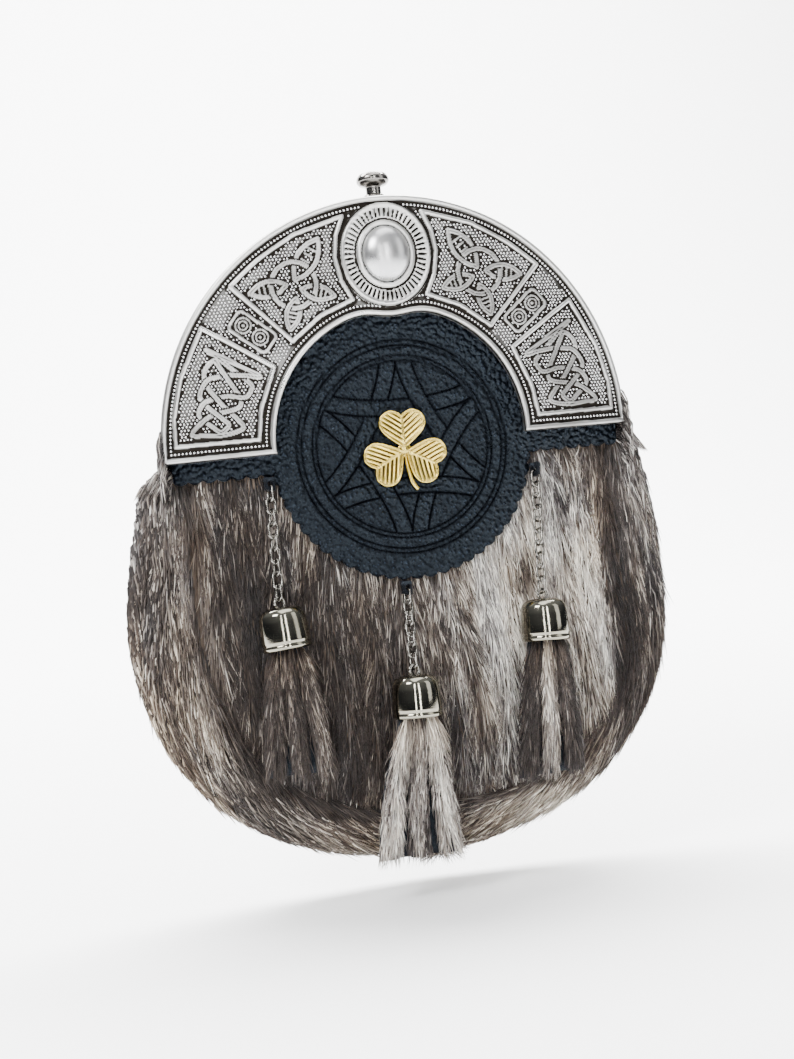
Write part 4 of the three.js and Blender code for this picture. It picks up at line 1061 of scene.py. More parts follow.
def hair_material():
    """Hair from near-black through brown and tan to cream, by the strand's own tone."""
    material, tree, shader = fresh_material("fur")
    tone, warm, tip = (node(tree, "ShaderNodeAttribute", attribute_name=key).outputs["Fac"]
                       for key in ("tone", "warm", "tip"))
    drawn = maths(tree, "ADD", tone, maths(tree, "MULTIPLY", maths(tree, "SUBTRACT", tip, 0.45), 0.3), True)
    cool = ramp(tree, drawn, [
        (0.0, (0.011, 0.010, 0.010)), (0.25, (0.052, 0.046, 0.045)), (0.5, (0.20, 0.185, 0.178)),
        (0.75, (0.49, 0.47, 0.44)), (1.0, (0.84, 0.82, 0.76))])
    tan = ramp(tree, drawn, [
        (0.0, (0.017, 0.011, 0.008)), (0.25, (0.075, 0.052, 0.038)), (0.5, (0.25, 0.195, 0.14)),
        (0.75, (0.55, 0.45, 0.33)), (1.0, (0.88, 0.80, 0.66))])
    tree.links.new(mixed(tree, warm, cool, tan), shader.inputs["Base Color"])
    rough = maths(tree, "ADD", maths(tree, "MULTIPLY", object_noise(tree, 90.0), 0.25), 0.38)
    tree.links.new(rough, shader.inputs["Roughness"])
    shader.inputs["Specular IOR Level"].default_value = 0.2
    return material


FUR = hair_material()
HAIR_TREE = instance_tree("hairs", strand_form, FUR)
print("strands wear", FUR.name)

# %% How hair is laid
FUR_SEED = 7


def streaks(u, v, seed, waves=9, tall=6.0):
    """Smooth noise from -1 to 1 drawn out along v; u and v in mm."""
    rng = np.random.default_rng(seed)
    total = np.zeros(np.shape(u))
    for _ in range(waves):
        a, phase = rng.uniform(0.12, 0.9), rng.uniform(0, 6.283)
        b = rng.normal(0, 0.5 / tall)
        total += np.sin(a * u + b * v + phase + 0.8 * np.sin(0.11 * v + phase))
    return total / math.sqrt(waves)


def unit_rows(rows):
    return rows / np.maximum(np.linalg.norm(rows, axis=-1, keepdims=True), 1e-9)


def frames_to_angles(across, normal, along):
    """Euler angles (XYZ) that turn X, Y, Z to three directions."""
    pitch = np.arcsin(np.clip(-across[:, 2], -1, 1))
    roll = np.arctan2(normal[:, 2], along[:, 2])
    yaw = np.arctan2(across[:, 1], across[:, 0])
    return np.stack([roll, pitch, yaw], -1)


def lay_hair(name, roots, normal, flow, length, width, lift, tone, warm, rng, stray=0.12):
    """Strands on roots: each lies along the flow, lifted off the skin, with a little scatter."""
    normal = unit_rows(normal)
    across = unit_rows(np.cross(normal, flow))
    angle = rng.normal(0, stray, len(roots))[:, None]
    flow = unit_rows(flow + across * np.tan(angle))
    flow = unit_rows(flow - normal * np.sum(flow * normal, -1, keepdims=True))
    across = np.cross(normal, flow)
    sizes = np.stack([width, lift, length], -1)
    turns = frames_to_angles(across, normal, flow)
    return scatter(name, HAIR_TREE, roots, sizes, turns, {"tone": tone, "warm": warm})


def patches(x, z, rows):
    """Sum of soft oval patches: rows of (x, z, half width, half height, amount)."""
    total = np.zeros(np.shape(x))
    for px, pz, rx, rz, amount in rows:
        total += amount * np.exp(-(((x - px) / rx) ** 2 + ((z - pz) / rz) ** 2))
    return total


# Lighter (+) and darker (-) parts of the coat, in mm from the cantle's centre; the dark row at (69, -66)
# is painted shadow along the right seam
COAT_TONE = [
    (-58, -30, 16, 30, -0.24), (-34, -64, 28, 24, -0.24), (-20, -95, 34, 18, -0.22), (36, -38, 26, 26, 0.28),
    (30, -70, 16, 26, 0.24), (58, -50, 6, 30, 0.24), (69, -66, 4, 30, -0.34), (35, -44, 5, 8, -0.34),
    (52, -22, 5, 8, -0.22), (-70, -62, 6, 46, 0.24), (-82, -70, 7, 40, -0.02), (-66, -105, 16, 14, -0.16),
    (84, -60, 12, 44, -0.14), (78, -92, 10, 10, -0.16), (40, -121, 30, 9, 0.20), (-40, -126, 26, 8, 0.08),
    (50, -104, 14, 10, -0.05), (-86, -34, 7, 18, -0.20), (86, -24, 8, 10, 0.12),
    (-71, -36, 4.5, 22, 0.28), (44, -116, 16, 9, 0.10), (-58, -66, 8, 16, -0.22), (-50, -36, 8, 10, -0.08)]
COAT_WARM = [
    (-30, -60, 40, 40, 0.25), (64, -30, 5, 24, 0.5), (80, -90, 16, 30, 0.35), (-82, -90, 18, 40, 0.5),
    (0, -126, 80, 12, 0.4), (-60, -20, 20, 14, 0.2), (36, -44, 8, 10, 0.5), (50, -100, 16, 14, 0.4)]
BASE_TONE, PATCH_GAIN, BASE_WARM = 0.31, 1.4, 0.18


def coat(x, z, u, v, rng):
    """Tone and warmth of each hair from its place, its streak, and chance."""
    tone = BASE_TONE + PATCH_GAIN * patches(x, z, COAT_TONE)
    tone = tone + 0.09 * streaks(u, v, 3, tall=2.0) + 0.06 * streaks(u * 2.4, v, 5)
    kind = rng.random(len(x))
    tone = tone + rng.normal(0, 0.09, len(x)) - 0.17 * (kind < 0.36) + 0.33 * (kind > 0.81)
    warm = BASE_WARM + patches(x, z, COAT_WARM) + 0.2 * streaks(u * 0.7, v, 8) + rng.normal(0, 0.12, len(x))
    return np.clip(tone, 0.02, 1), np.clip(warm, 0, 1)


# %% [markdown]
# On the front the hair falls straight down, a little parted by slow waves. It is left out where the
# tongue of the apron covers the hide, and painted shade darkens its tone towards the seam, where the two hides
# meet.

# %% Fur of the front
FRONT_HAIRS = 17500
TONGUE_R, TONGUE_Z = 42.0, -3.5


def grow_front():
    rng = np.random.default_rng(FUR_SEED)
    x = rng.uniform(-SEAM_HALF, SEAM_HALF, FRONT_HAIRS * 3)
    z = rng.uniform(-POUCH_DROP, -5.5, len(x))
    keep = abs(x) < front_half_width(z) - 0.4
    keep &= np.hypot(x, z - TONGUE_Z) > TONGUE_R - 4
    x, z = x[keep][:FRONT_HAIRS], z[keep][:FRONT_HAIRS]
    step = 0.5
    slope_z = (hide_depth(x, z + step) - hide_depth(x, z - step)) / (2 * step)
    slope_x = 2 * FACE_BOW * x
    roots = np.stack([x, hide_depth(x, z), z], -1)
    normal = np.stack([slope_x, -np.ones_like(x), slope_z], -1)
    sweep = 0.16 * streaks(x, z, 21, tall=9) + 0.10 * np.sin(x * 0.05)
    flow = np.stack([sweep, -slope_z, -np.ones_like(x)], -1)
    lift = rng.uniform(0.9, 2.3, len(x)) + 0.5 * streaks(x, z, 31)
    room = np.clip((z + POUCH_DROP) / 12, 0.35, 1)
    length = rng.uniform(8, 15, len(x)) * room
    tone, warm = coat(x, z, x, z, rng)
    # painted shade: the hair's tone falls towards the seam
    tone = tone * (0.35 + 0.65 * smoothstep(0.5, 5.0, front_half_width(z) - abs(x)))
    return lay_hair("fur_of_front", roots, normal, flow, length, rng.uniform(0.24, 0.48, len(x)),
                    np.clip(lift, 0.7, 3.2), np.clip(tone, 0.02, 1), warm, rng)


front_fur = grow_front()
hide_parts("fur_front")
print("front fur", len(front_fur.data.polygons), "faces")

# %% [markdown]
# On the gusset the hair runs along the seam, down both sides and in towards the middle of the foot.
# The hide is drawn up behind the cantle's two ends, so a collar of shorter hair covers the frame's
# outside there and the top of the gusset.

# %% Fur of the gusset
GUSSET_HAIRS = 12300
FRAME_R, COLLAR_HAIRS = 77.2, 2000


def grow_gusset(name, low, high, seed):
    """Hair on the part of the gusset between shares low and high of the seam."""
    rng = np.random.default_rng(seed)
    t = rng.uniform(low, high, GUSSET_HAIRS)
    v = np.where(rng.random(GUSSET_HAIRS) < 0.72, rng.uniform(0.01, 0.55, GUSSET_HAIRS),
                 rng.uniform(0.5, 0.99, GUSSET_HAIRS))
    roots = gusset_point(t, v)
    along = gusset_point(np.clip(t + 0.004, 0, 1), v) - gusset_point(np.clip(t - 0.004, 0, 1), v)
    round_it = gusset_point(t, np.clip(v + 0.02, 0, 1)) - gusset_point(t, np.clip(v - 0.02, 0, 1))
    normal = unit_rows(np.cross(along, round_it))
    _, _, away_x, away_z = seam(t)
    away = np.stack([away_x, np.zeros_like(t), away_z], -1)
    facing = np.where(v < 0.5, -0.4, 0.4)
    outer = away * np.sin(math.pi * v)[:, None] + np.array([0, 1.0, 0]) * facing[:, None]
    normal *= np.sign(np.sum(normal * outer, -1, keepdims=True))
    way = np.tanh((0.5 - t) / 0.03)[:, None]
    down = np.array([0, 0, -1.0])
    flow = unit_rows(along) * way + 0.35 * down
    flow = flow + unit_rows(round_it) * (0.22 * (v - 0.35))[:, None] + away * 0.12
    u_mm, v_mm = v * 50, np.minimum(t, 1 - t) * SEAM_LENGTH
    flow = flow + unit_rows(round_it) * (0.16 * streaks(u_mm, v_mm, seed + 1, tall=9))[:, None]
    lift = rng.uniform(1.4, 3.4, len(t)) + 0.6 * streaks(u_mm, v_mm, seed + 2) - 1.3 * away_x
    length = rng.uniform(10, 18, len(t))
    tone, warm = coat(roots[:, 0], roots[:, 2], u_mm, v_mm, rng)
    # painted shade: the tone falls at the gusset's front edge, along the seam
    tone = tone * (0.3 + 0.7 * smoothstep(0.01, 0.10, v))
    return lay_hair(name, roots, normal, flow, length, rng.uniform(0.27, 0.56, len(t)),
                    np.clip(lift, 0.7, 5.2), np.clip(tone, 0.02, 1), warm, rng, stray=0.13)


def grow_collar(side, seed):
    """Hair round the frame at one end of the cantle and over the gusset's top."""
    rng = np.random.default_rng(seed)
    n = COLLAR_HAIRS
    x, z = rng.uniform(FRAME_R - 0.6, FRAME_R + 0.5, n), rng.uniform(-14, 9, n)
    depth = rng.uniform(7.5, 25, n)
    top = rng.random(n) < 0.4
    share = 0.86 * rng.random(n)
    rim = gusset_point(np.full(n, 0.004 if side < 0 else 0.996), rng.uniform(0.03, 0.97, n))
    x = np.where(top, FRAME_R + (abs(rim[:, 0]) - FRAME_R) * share, x)
    z = np.where(top, rim[:, 2] + 5.0 * (1 - share), z)
    depth = np.where(top, rim[:, 1], depth)
    low = smoothstep(9, -12, z)
    normal = np.where(top[:, None], [side * 0.8, -0.2, 0.7], [side, -0.3, 0.1])
    flow = np.stack([side * (0.06 + 0.24 * low), rng.normal(-0.05, 0.12, n), -np.ones(n)], -1)
    roots = np.stack([side * x, depth, z], -1)
    tone, warm = coat(roots[:, 0], z - 8, depth, z, rng)
    lift = rng.uniform(0.8, 1.9, n) * np.where(z > 3, 0.7, 1.0) + 0.3 * (side > 0)
    name = "fur_collar_right" if side > 0 else "fur_collar_left"
    return lay_hair(name, roots, normal, flow, rng.uniform(5, 9.5, n), rng.uniform(0.27, 0.5, n), lift,
                    tone, warm, rng)


GUSSET_PARTS = [("fur_of_gusset_left", 0.0, 0.5, 40), ("fur_of_gusset_right", 0.5, 1.0, 50)]
for fur_side, fur_seed in ((-1, 61), (1, 62)):
    fur_collar = grow_collar(fur_side, fur_seed)
    print(fur_collar.name, len(fur_collar.data.polygons), "faces")
for gusset_part in GUSSET_PARTS:
    gusset_fur = grow_gusset(*gusset_part)
    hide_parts("fur_gusset")
    print(gusset_fur.name, len(gusset_fur.data.polygons), "faces")

# %% [markdown]
# Leather is a second shared finish: rounded cells with creases between them, and a painted bluish
# highlight on the tops of the cells. The apron's leather also reads an attribute that says where the
# stamp pressed it, because pressed leather is darker and duller.

# %% Leather
def leather_grain_group():
    """Pebbled grain: rounded cells with creases between them, and a painted highlight on their tops."""
    group, entry, exit_ = node_group(
        "leather_grain",
        [("Cell Scale", "NodeSocketFloat", 900.0), ("Depth", "NodeSocketFloat", 0.5),
         ("Base", "NodeSocketColor", (0.02, 0.024, 0.032, 1)),
         ("Painted Highlight", "NodeSocketColor", (0.05, 0.056, 0.068, 1))],
        [("Color", "NodeSocketColor"), ("Roughness", "NodeSocketFloat"), ("Normal", "NodeSocketVector")])
    spot = node(group, "ShaderNodeTexCoord").outputs["Object"]
    bend = node(group, "ShaderNodeTexNoise", {"Vector": spot, "Scale": 420.0, "Detail": 2.0})
    shifted = node(group, "ShaderNodeVectorMath", {0: bend.outputs["Color"], 1: (0.0008, 0.0008, 0.0008)},
                   operation="MULTIPLY")
    moved = node(group, "ShaderNodeVectorMath", {0: spot, 1: shifted.outputs[0]}, operation="ADD")
    cells = node(group, "ShaderNodeTexVoronoi", {
        "Vector": moved.outputs[0], "Scale": entry.outputs["Cell Scale"], "Smoothness": 0.6},
        feature="SMOOTH_F1")
    crumple = object_noise(group, 1500.0, 3.0)
    pebble = maths(group, "SUBTRACT", 1.0, cells.outputs["Distance"], True)
    height = maths(group, "ADD", pebble, maths(group, "MULTIPLY", crumple, 0.25))
    cloud = object_noise(group, 60.0, 3.0)
    # painted highlight: the tops of the cells get a lighter bluish colour
    top = node(group, "ShaderNodeMapRange", {"Value": pebble, "From Min": 0.62, "From Max": 0.95},
               interpolation_type="SMOOTHSTEP").outputs[0]
    painted_highlight = maths(group, "MULTIPLY", top, maths(group, "ADD", cloud, 0.3), True)
    colour = mixed(group, painted_highlight, entry.outputs["Base"], entry.outputs["Painted Highlight"])
    relief = node(group, "ShaderNodeBump", {"Strength": entry.outputs["Depth"], "Distance": 0.0015,
                                            "Height": height})
    rough = maths(group, "ADD", maths(group, "MULTIPLY", cloud, 0.2), 0.27)
    return joined_up(group, exit_, colour, rough, relief)


GRAIN = leather_grain_group()


PRESSED_COLOUR, PRESSED_DULL, GLINT, BACK_GLINT = (0.0015, 0.0018, 0.0025), 0.35, 0.19, 0.16
GLINT_TINT = (0.66, 0.83, 1.0, 1)


def leather_material(name, base, painted_highlight, cell_scale, depth, pressed=None):
    """Leather with the grain finish; pressed names the mesh attribute that says where a stamp pressed it."""
    material, tree, shader = fresh_material(name)
    finish = dressed(tree, shader, GRAIN, {"Cell Scale": cell_scale, "Depth": depth, "Base": base,
                                           "Painted Highlight": painted_highlight})
    if pressed:
        mask = node(tree, "ShaderNodeAttribute", attribute_name=pressed).outputs["Fac"]
        darker = mixed(tree, mask, finish.outputs["Color"], PRESSED_COLOUR)
        tree.links.new(darker, shader.inputs["Base Color"])
        duller = maths(tree, "ADD", finish.outputs["Roughness"],
                       maths(tree, "MULTIPLY", mask, PRESSED_DULL), True)
        tree.links.new(duller, shader.inputs["Roughness"])
        glint = maths(tree, "MULTIPLY", maths(tree, "SUBTRACT", 1.0, mask, True), GLINT)
        tree.links.new(glint, shader.inputs["Specular IOR Level"])
    else:
        shader.inputs["Specular IOR Level"].default_value = BACK_GLINT
    shader.inputs["Specular Tint"].default_value = GLINT_TINT
    return material


# the third colour of each leather is the painted highlight on the tops of its cells
APRON_LEATHER = leather_material("pebbled_leather", (0.001, 0.0014, 0.0024), (0.015, 0.021, 0.031), 700.0,
                                 1.0, "press")
BACK_LEATHER = leather_material("smooth_leather", (0.005, 0.0055, 0.007), (0.013, 0.0145, 0.018), 1500.0, 0.3)
print("leathers:", APRON_LEATHER.name, BACK_LEATHER.name)

# %% [markdown]
# The apron is one sheet of pebbled leather with a scalloped edge. A stamp has pressed two pairs of
# circles and an interlace of curved bands into it. Its grid runs out from the middle of the tongue
# to the outline in every direction, so the scallops are the end of the grid and not a cut in it.

# %% Apron
STRIP_DROP, STRIP_REACH = 8.0, 74.6
SCALLOP_PITCH, SCALLOP_DEPTH = 4.6, 1.2
APRON_CENTRE = np.array([0.0, TONGUE_Z])
APRON_TOP_R = 60.0


def scalloped(path, normal_sign):
    """A path whose points are pushed out in round scallops."""
    at = np.concatenate([[0], np.cumsum(np.hypot(*np.diff(path, axis=0).T))])
    count = round(at[-1] / SCALLOP_PITCH)
    wave = abs(np.sin(math.pi * count * at / at[-1]))
    step = np.gradient(path, axis=0)
    out = np.stack([step[:, 1], -step[:, 0]], -1) / np.hypot(*step.T)[:, None] * normal_sign
    return path + out * (SCALLOP_DEPTH * wave ** 0.7)[:, None]


def apron_outline():
    """Plan points round the tongue, and on behind the cantle; which of them lie on the scallops."""
    meet_turn = math.asin((STRIP_DROP + TONGUE_Z) / TONGUE_R)
    turn = np.linspace(math.pi + meet_turn, 2 * math.pi - meet_turn, 300)
    arc = APRON_CENTRE + TONGUE_R * np.stack([np.cos(turn), np.sin(turn)], -1)
    top = polar(APRON_TOP_R, np.linspace(2, 178, 230))
    arc = scalloped(arc, 1)
    share = np.linspace(0, 1, 22)[1:-1, None]
    right, left = arc[-1] + (top[0] - arc[-1]) * share, top[-1] + (arc[0] - top[-1]) * share
    outline = np.vstack([arc, right, top, left])
    return outline, np.arange(len(outline)) < len(arc)


STAMP_RINGS, RING_HALF = (34.6, 33.0, 29.6, 28.2), 0.3
STAMP_R, BAND_HALF, STAMP_LINE, BAND_BOW = 28.2, 2.6, 0.34, 3.6
STAMP_DEPTH = 0.6
APRON_RINGS = 100


def stamp_bands():
    """Six curved bands, each from one node of the circle to the next but one, bowed inwards."""
    nodes = [APRON_CENTRE + STAMP_R * np.array([math.sin(a), math.cos(a)])
             for a in np.arange(6) * math.pi / 3]
    bands = []
    for k in range(6):
        start, end = nodes[k], nodes[(k + 2) % 6]
        middle = (start + end) / 2
        beside = [np.array([-(node_at - APRON_CENTRE)[1], (node_at - APRON_CENTRE)[0]]) / STAMP_R
                  for node_at in (start, end)]
        start, end = start - beside[0] * BAND_HALF, end + beside[1] * BAND_HALF
        inward = (APRON_CENTRE - middle) / np.linalg.norm(APRON_CENTRE - middle)
        t = np.linspace(0, 1, 26)[:, None]
        bow_in = (4 * t * (1 - t)) ** 0.8 * BAND_BOW
        bands.append(start + (end - start) * t + inward * bow_in)
    return bands


def stamp_depth(x, z):
    """How deep the stamp pressed the leather, in mm."""
    radius = np.hypot(x, z - TONGUE_Z)
    depth = np.zeros(x.shape)
    for size in STAMP_RINGS:
        depth = np.maximum(depth, smoothstep(RING_HALF + 0.25, RING_HALF - 0.25, abs(radius - size)))
    fields = [nearest(band, x, z)[0] for band in stamp_bands()]
    lines = [smoothstep(STAMP_LINE + 0.22, STAMP_LINE - 0.22, abs(d - BAND_HALF)) for d in fields]
    inside = [d < BAND_HALF - 0.2 for d in fields]
    drawn = np.zeros(x.shape)
    for k, line in enumerate(lines):
        covered = inside[(k + 1) % 6] | inside[(k + 3) % 6]
        drawn = np.maximum(drawn, np.where(covered, 0, line))
    drawn *= smoothstep(STAMP_R, STAMP_R - 0.5, radius)
    sunk = 0.35 * (radius < 28.0) * np.all([d > BAND_HALF for d in fields], axis=0)
    return STAMP_DEPTH * np.maximum(depth, drawn) + 0.18 * sunk


def strip_slab(side):
    """The strip of the apron under one end of the cantle, scalloped along its lower edge."""
    x = np.linspace(38.5, STRIP_REACH, 150)
    count = round((STRIP_REACH - TONGUE_R) / SCALLOP_PITCH)
    wave = abs(np.sin(math.pi * count * (x - TONGUE_R) / (STRIP_REACH - TONGUE_R)))
    low = -STRIP_DROP - SCALLOP_DEPTH * wave ** 0.7
    rows = np.array([0, 0.06, 0.14, 0.25, 0.4, 0.6, 0.8, 1.0])
    z = low[None] + (3.0 - low[None]) * rows[:, None]
    x = np.broadcast_to(x, z.shape)
    edge = np.clip((z - low) / 0.7, 0, 1)
    roll = 0.45 * (1 - np.sqrt(np.clip(1 - (1 - edge) ** 2, 0, 1)))
    lie = bow(x) - belly(z)
    roll = np.maximum(roll, 0.7 * smoothstep(TONGUE_R + 0.3, TONGUE_R - 1.2, np.hypot(x, z - TONGUE_Z)))
    front = np.stack([side * x, APRON_FRONT + 0.04 + lie + roll, z], -1)
    back = np.stack([side * x, APRON_BACK - 0.04 + lie, z], -1)
    points, faces = slab_from_grids(front, back)
    return points, outward(points, faces)


def build_apron():
    outline, on_scallops = apron_outline()
    share = np.concatenate([np.linspace(0.012, 0.86, APRON_RINGS - 12), np.linspace(0.868, 1, 12)])
    share = share[:, None, None]
    plan = APRON_CENTRE + (outline - APRON_CENTRE)[None] * share
    x, z = plan[..., 0], plan[..., 1]
    lie = bow(x) - belly(z)
    edge = np.clip((1 - share[..., 0]) * np.hypot(*(outline - APRON_CENTRE).T)[None] / 0.7, 0, 1)
    roll = 0.45 * (1 - np.sqrt(np.clip(1 - (1 - edge) ** 2, 0, 1))) * on_scallops
    press = stamp_depth(x, z)
    front = np.stack([x, APRON_FRONT + lie + press + roll, z], -1)
    rings, columns = x.shape
    rim = front[-1].copy()
    rim[:, 1] = APRON_BACK + lie[-1]
    sag = float(belly(TONGUE_Z))
    middle = np.array([[0, APRON_FRONT - sag, TONGUE_Z], [0, APRON_BACK - sag, TONGUE_Z]])
    back_x, back_z = (APRON_CENTRE + (outline - APRON_CENTRE) * 0.5).T
    back_ring = np.stack([back_x, APRON_BACK + bow(back_x) - belly(back_z), back_z], -1)
    points = np.concatenate([front.reshape(-1, 3), rim, back_ring, middle])
    shade = np.concatenate([np.clip(press / STAMP_DEPTH, 0, 1).ravel(), np.zeros(2 * columns + 2)])
    faces = capped_rings(rings + 2, columns)
    faces = outward(points, faces)
    for side in (-1, 1):
        strip_points, strip_faces = strip_slab(side)
        faces = list(faces) + [tuple(v + len(points) for v in face) for face in strip_faces]
        points = np.concatenate([points, strip_points])
    shade = np.concatenate([shade, np.zeros(len(points) - len(shade))])
    return add_mesh("leather_apron", points, faces, APRON_LEATHER, attributes={"press": shade})


apron = build_apron()
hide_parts("apron")
print("apron", len(apron.data.polygons), "faces")

# %% [markdown]
# The badge is a small casting with three heart-shaped leaves. Each leaf is a height field over its
# own outline: a raised rim, a midrib with side veins, and a hollow between them. The leaf is made
# once and turned to its three places, and a button covers the point where they meet.

# %% Badge
BADGE_Z = -4.7
BADGE_BACK, BADGE_FRONT = 3.8, 2.5
VEIN_PITCH, LEAF_SCALE, LEAF_RINGS = 1.7, 0.95, 52
LEAF_MIDDLE = np.array([0.0, 8.2])


def leaf_outline(count=140):
    """A heart with its point at the button and its notch outward, as plan points."""
    right = curve([(0.3, 0.6), (3.6, 3.0), (7.0, 6.2), (8.2, 9.4), (7.0, 12.4), (4.2, 13.9), (1.5, 13.3),
                   (0.0, 12.1)], closed=False, per_span=8)
    at = np.concatenate([[0], np.cumsum(np.hypot(*np.diff(right, axis=0).T))])
    where = np.linspace(0, at[-1], count // 2 + 1)
    right = np.stack([np.interp(where, at, right[:, k]) for k in (0, 1)], -1)
    left = right[::-1][1:-1] * [-1, 1]
    return np.vstack([right, left]) * LEAF_SCALE


def leaf_height(x, z, inset):
    """Relief of one leaf, in mm, at plan points and their distance from its edge."""
    rim = 0.55 * edge_round(0.4 - abs(inset - 0.4), 0.4)
    rib = 0.42 * edge_round(0.36 - abs(x), 0.36) * smoothstep(12.2, 11, z)
    lean = (abs(x) * 0.75 - (z - 1.5)) / VEIN_PITCH
    line = abs(lean - np.round(lean)) * VEIN_PITCH
    groove = smoothstep(0.48, 0.2, line) * smoothstep(0.7, 1.1, inset) * smoothstep(0.35, 0.6, abs(x))
    field = 0.34 - 0.12 * smoothstep(0.6, 4, inset) - 0.3 * groove
    return np.maximum(np.maximum(rim, rib), field * smoothstep(0.75, 1.0, inset))


def build_leaf(name, degrees):
    outline = leaf_outline()
    share = np.linspace(0.03, 1, LEAF_RINGS)[:, None, None]
    plan = LEAF_MIDDLE + (outline - LEAF_MIDDLE)[None] * share
    x, z = plan[..., 0], plan[..., 1]
    inset = nearest(np.vstack([outline, outline[:1]]), x, z)[0]
    height = leaf_height(x, z, inset)
    turn = math.radians(degrees)
    px = x * math.cos(turn) - z * math.sin(turn)
    pz = x * math.sin(turn) + z * math.cos(turn) + BADGE_Z
    front = np.stack([px, BADGE_FRONT - height - belly(pz), pz], -1)
    rings, columns = x.shape
    rim = front[-1].copy()
    rim[:, 1] = BADGE_BACK - belly(pz[-1])
    points = np.concatenate([front.reshape(-1, 3), rim, [front[0].mean(0)], [rim.mean(0)]])
    faces = capped_rings(rings + 1, columns)
    recess = np.clip(1.0 - height / 0.24, 0, 1) * smoothstep(0.3, 0.6, inset)
    shade = np.concatenate([recess.ravel() * 0.95, np.zeros(columns), [0.5, 0]])
    leaf = add_mesh(name, points, outward(points, faces), GOLD, attributes={"recess": shade})
    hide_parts("shamrock_badge")
    return leaf


for number, degrees in enumerate((0, 118, -118), 1):
    build_leaf(f"badge_leaf_{number}", degrees)


def tube_mesh(path, radii, sides=10):
    """A closed tube along 3-D points, its ends closed by fans."""
    path = np.asarray(path, float)
    radii = np.broadcast_to(radii, len(path))
    ahead = unit_rows(np.gradient(path, axis=0))
    side = unit_rows(np.cross(ahead, [0.0, 1.0, 0.0]))
    up = np.cross(side, ahead)
    angle = np.arange(sides) * 2 * math.pi / sides
    rings = (path[:, None] + side[:, None] * (radii[:, None] * np.cos(angle))[..., None]
             + up[:, None] * (radii[:, None] * np.sin(angle))[..., None])
    points = np.concatenate([rings.reshape(-1, 3), path[:1], path[-1:]])
    return points, outward(points, capped_rings(len(path), sides))


def build_stalk():
    plan = curve([(0.2, -5.5), (0.3, -9), (0.8, -12.4), (1.6, -15.4), (3.0, -17.8)], closed=False,
                 per_span=6)
    path = np.stack([plan[:, 0], BADGE_FRONT + 0.55 - belly(plan[:, 1]), plan[:, 1]], -1)
    points, faces = tube_mesh(path, np.linspace(0.55, 0.75, len(path)))
    stalk = add_mesh("badge_stalk", points, faces, GOLD)
    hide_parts("shamrock_badge")


build_stalk()
BUTTON_AT = Matrix(((1, 0, 0, 0), (0, 0, -1, BADGE_FRONT + 0.6), (0, 1, 0, BADGE_Z), (0, 0, 0, 1)))
BUTTON_PROFILE = [(0, 1.8), (1.0, 1.6), (1.6, 1.05), (1.65, 0.7), (2.1, 0.6), (2.4, 0.2), (2.4, -0.6),
                  (0, -0.6)]
button = turn_piece("badge_button", soft_corners(BUTTON_PROFILE, 0.2), 32, BUTTON_AT, GOLD)
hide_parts("shamrock_badge")
print("button", len(button.data.polygons), "faces")

# %% [markdown]
# Three chains hang from tabs under the apron's edge, and each carries a bell with a tassel. The
# routes are the ones that the solids follow, so the same few points and rules are written here: a
# chain runs straight from its tab to the bell's eye, and its links stand crosswise in turn.

# %% Chains
WIRE, LINK_LENGTH, LINK_WIDTH, LINK_PLAY, CHAIN_TWIST = 0.95, 6.5, 4.1, 0.25, 25.0
CHAIN_OFF, CLEARANCE = 3.4, 0.3
BELL_R, BELL_HEIGHT, BELL_WALL, BELL_LIP, BELL_TILT, EYE_R = 7.9, 13.6, 0.9, 0.35, 6.0, 1.7
LOCK_LIFT = 2.6
CHAINS = [
    # where the tab's hole and the bell's top are (x, z), how far the bell leans (degrees), where the
    # hem lies from the bell's mouth (x, z), and how wide the tassel is there
    dict(name="left", hole=(-44.5, -11.6), bell=(-46, -50.2), lean=4, hem=(0.5, -41), width=24),
    dict(name="centre", hole=(-4.4, -49.2), bell=(-7, -75.3), lean=-2, hem=(-2, -47), width=31),
    dict(name="right", hole=(43.3, -15.2), bell=(37.4, -56.6), lean=-2, hem=(-1, -45), width=25),
]


def bell_matrix(row):
    bx, bz = row["bell"]
    depth = hide_depth(bx, bz - BELL_HEIGHT) - BELL_R - LOCK_LIFT / 2 - CLEARANCE
    tilt = Matrix.Rotation(math.radians(-BELL_TILT), 4, "X")
    lean = Matrix.Rotation(math.radians(-row["lean"]), 4, "Y")
    return Matrix.Translation((bx, float(depth), bz)) @ tilt @ lean


def link_places(row):
    """Middles and turning matrices of a chain's links, from its tab to its bell."""
    hx, hz = row["hole"]
    top = Vector((hx, float(hide_depth(hx, hz)) - CHAIN_OFF, hz + WIRE / 2 - CLEARANCE))
    foot = bell_matrix(row) @ Vector((0, 0, 2 * EYE_R - 2 * WIRE - LINK_PLAY))
    run = foot - top
    aim = Vector((0, 0, -1)).rotation_difference(run.normalized()).to_matrix()
    spread = run.length - LINK_LENGTH
    count = 1 + math.ceil(spread / (LINK_LENGTH - 2 * WIRE - LINK_PLAY))
    places = []
    for i in range(count):
        turn = math.radians(CHAIN_TWIST + 90 * ((count - i) % 2))
        middle = top + run.normalized() * (LINK_LENGTH / 2 + spread * i / (count - 1))
        places.append((middle, aim @ Matrix.Rotation(turn, 3, "Z")))
    return places


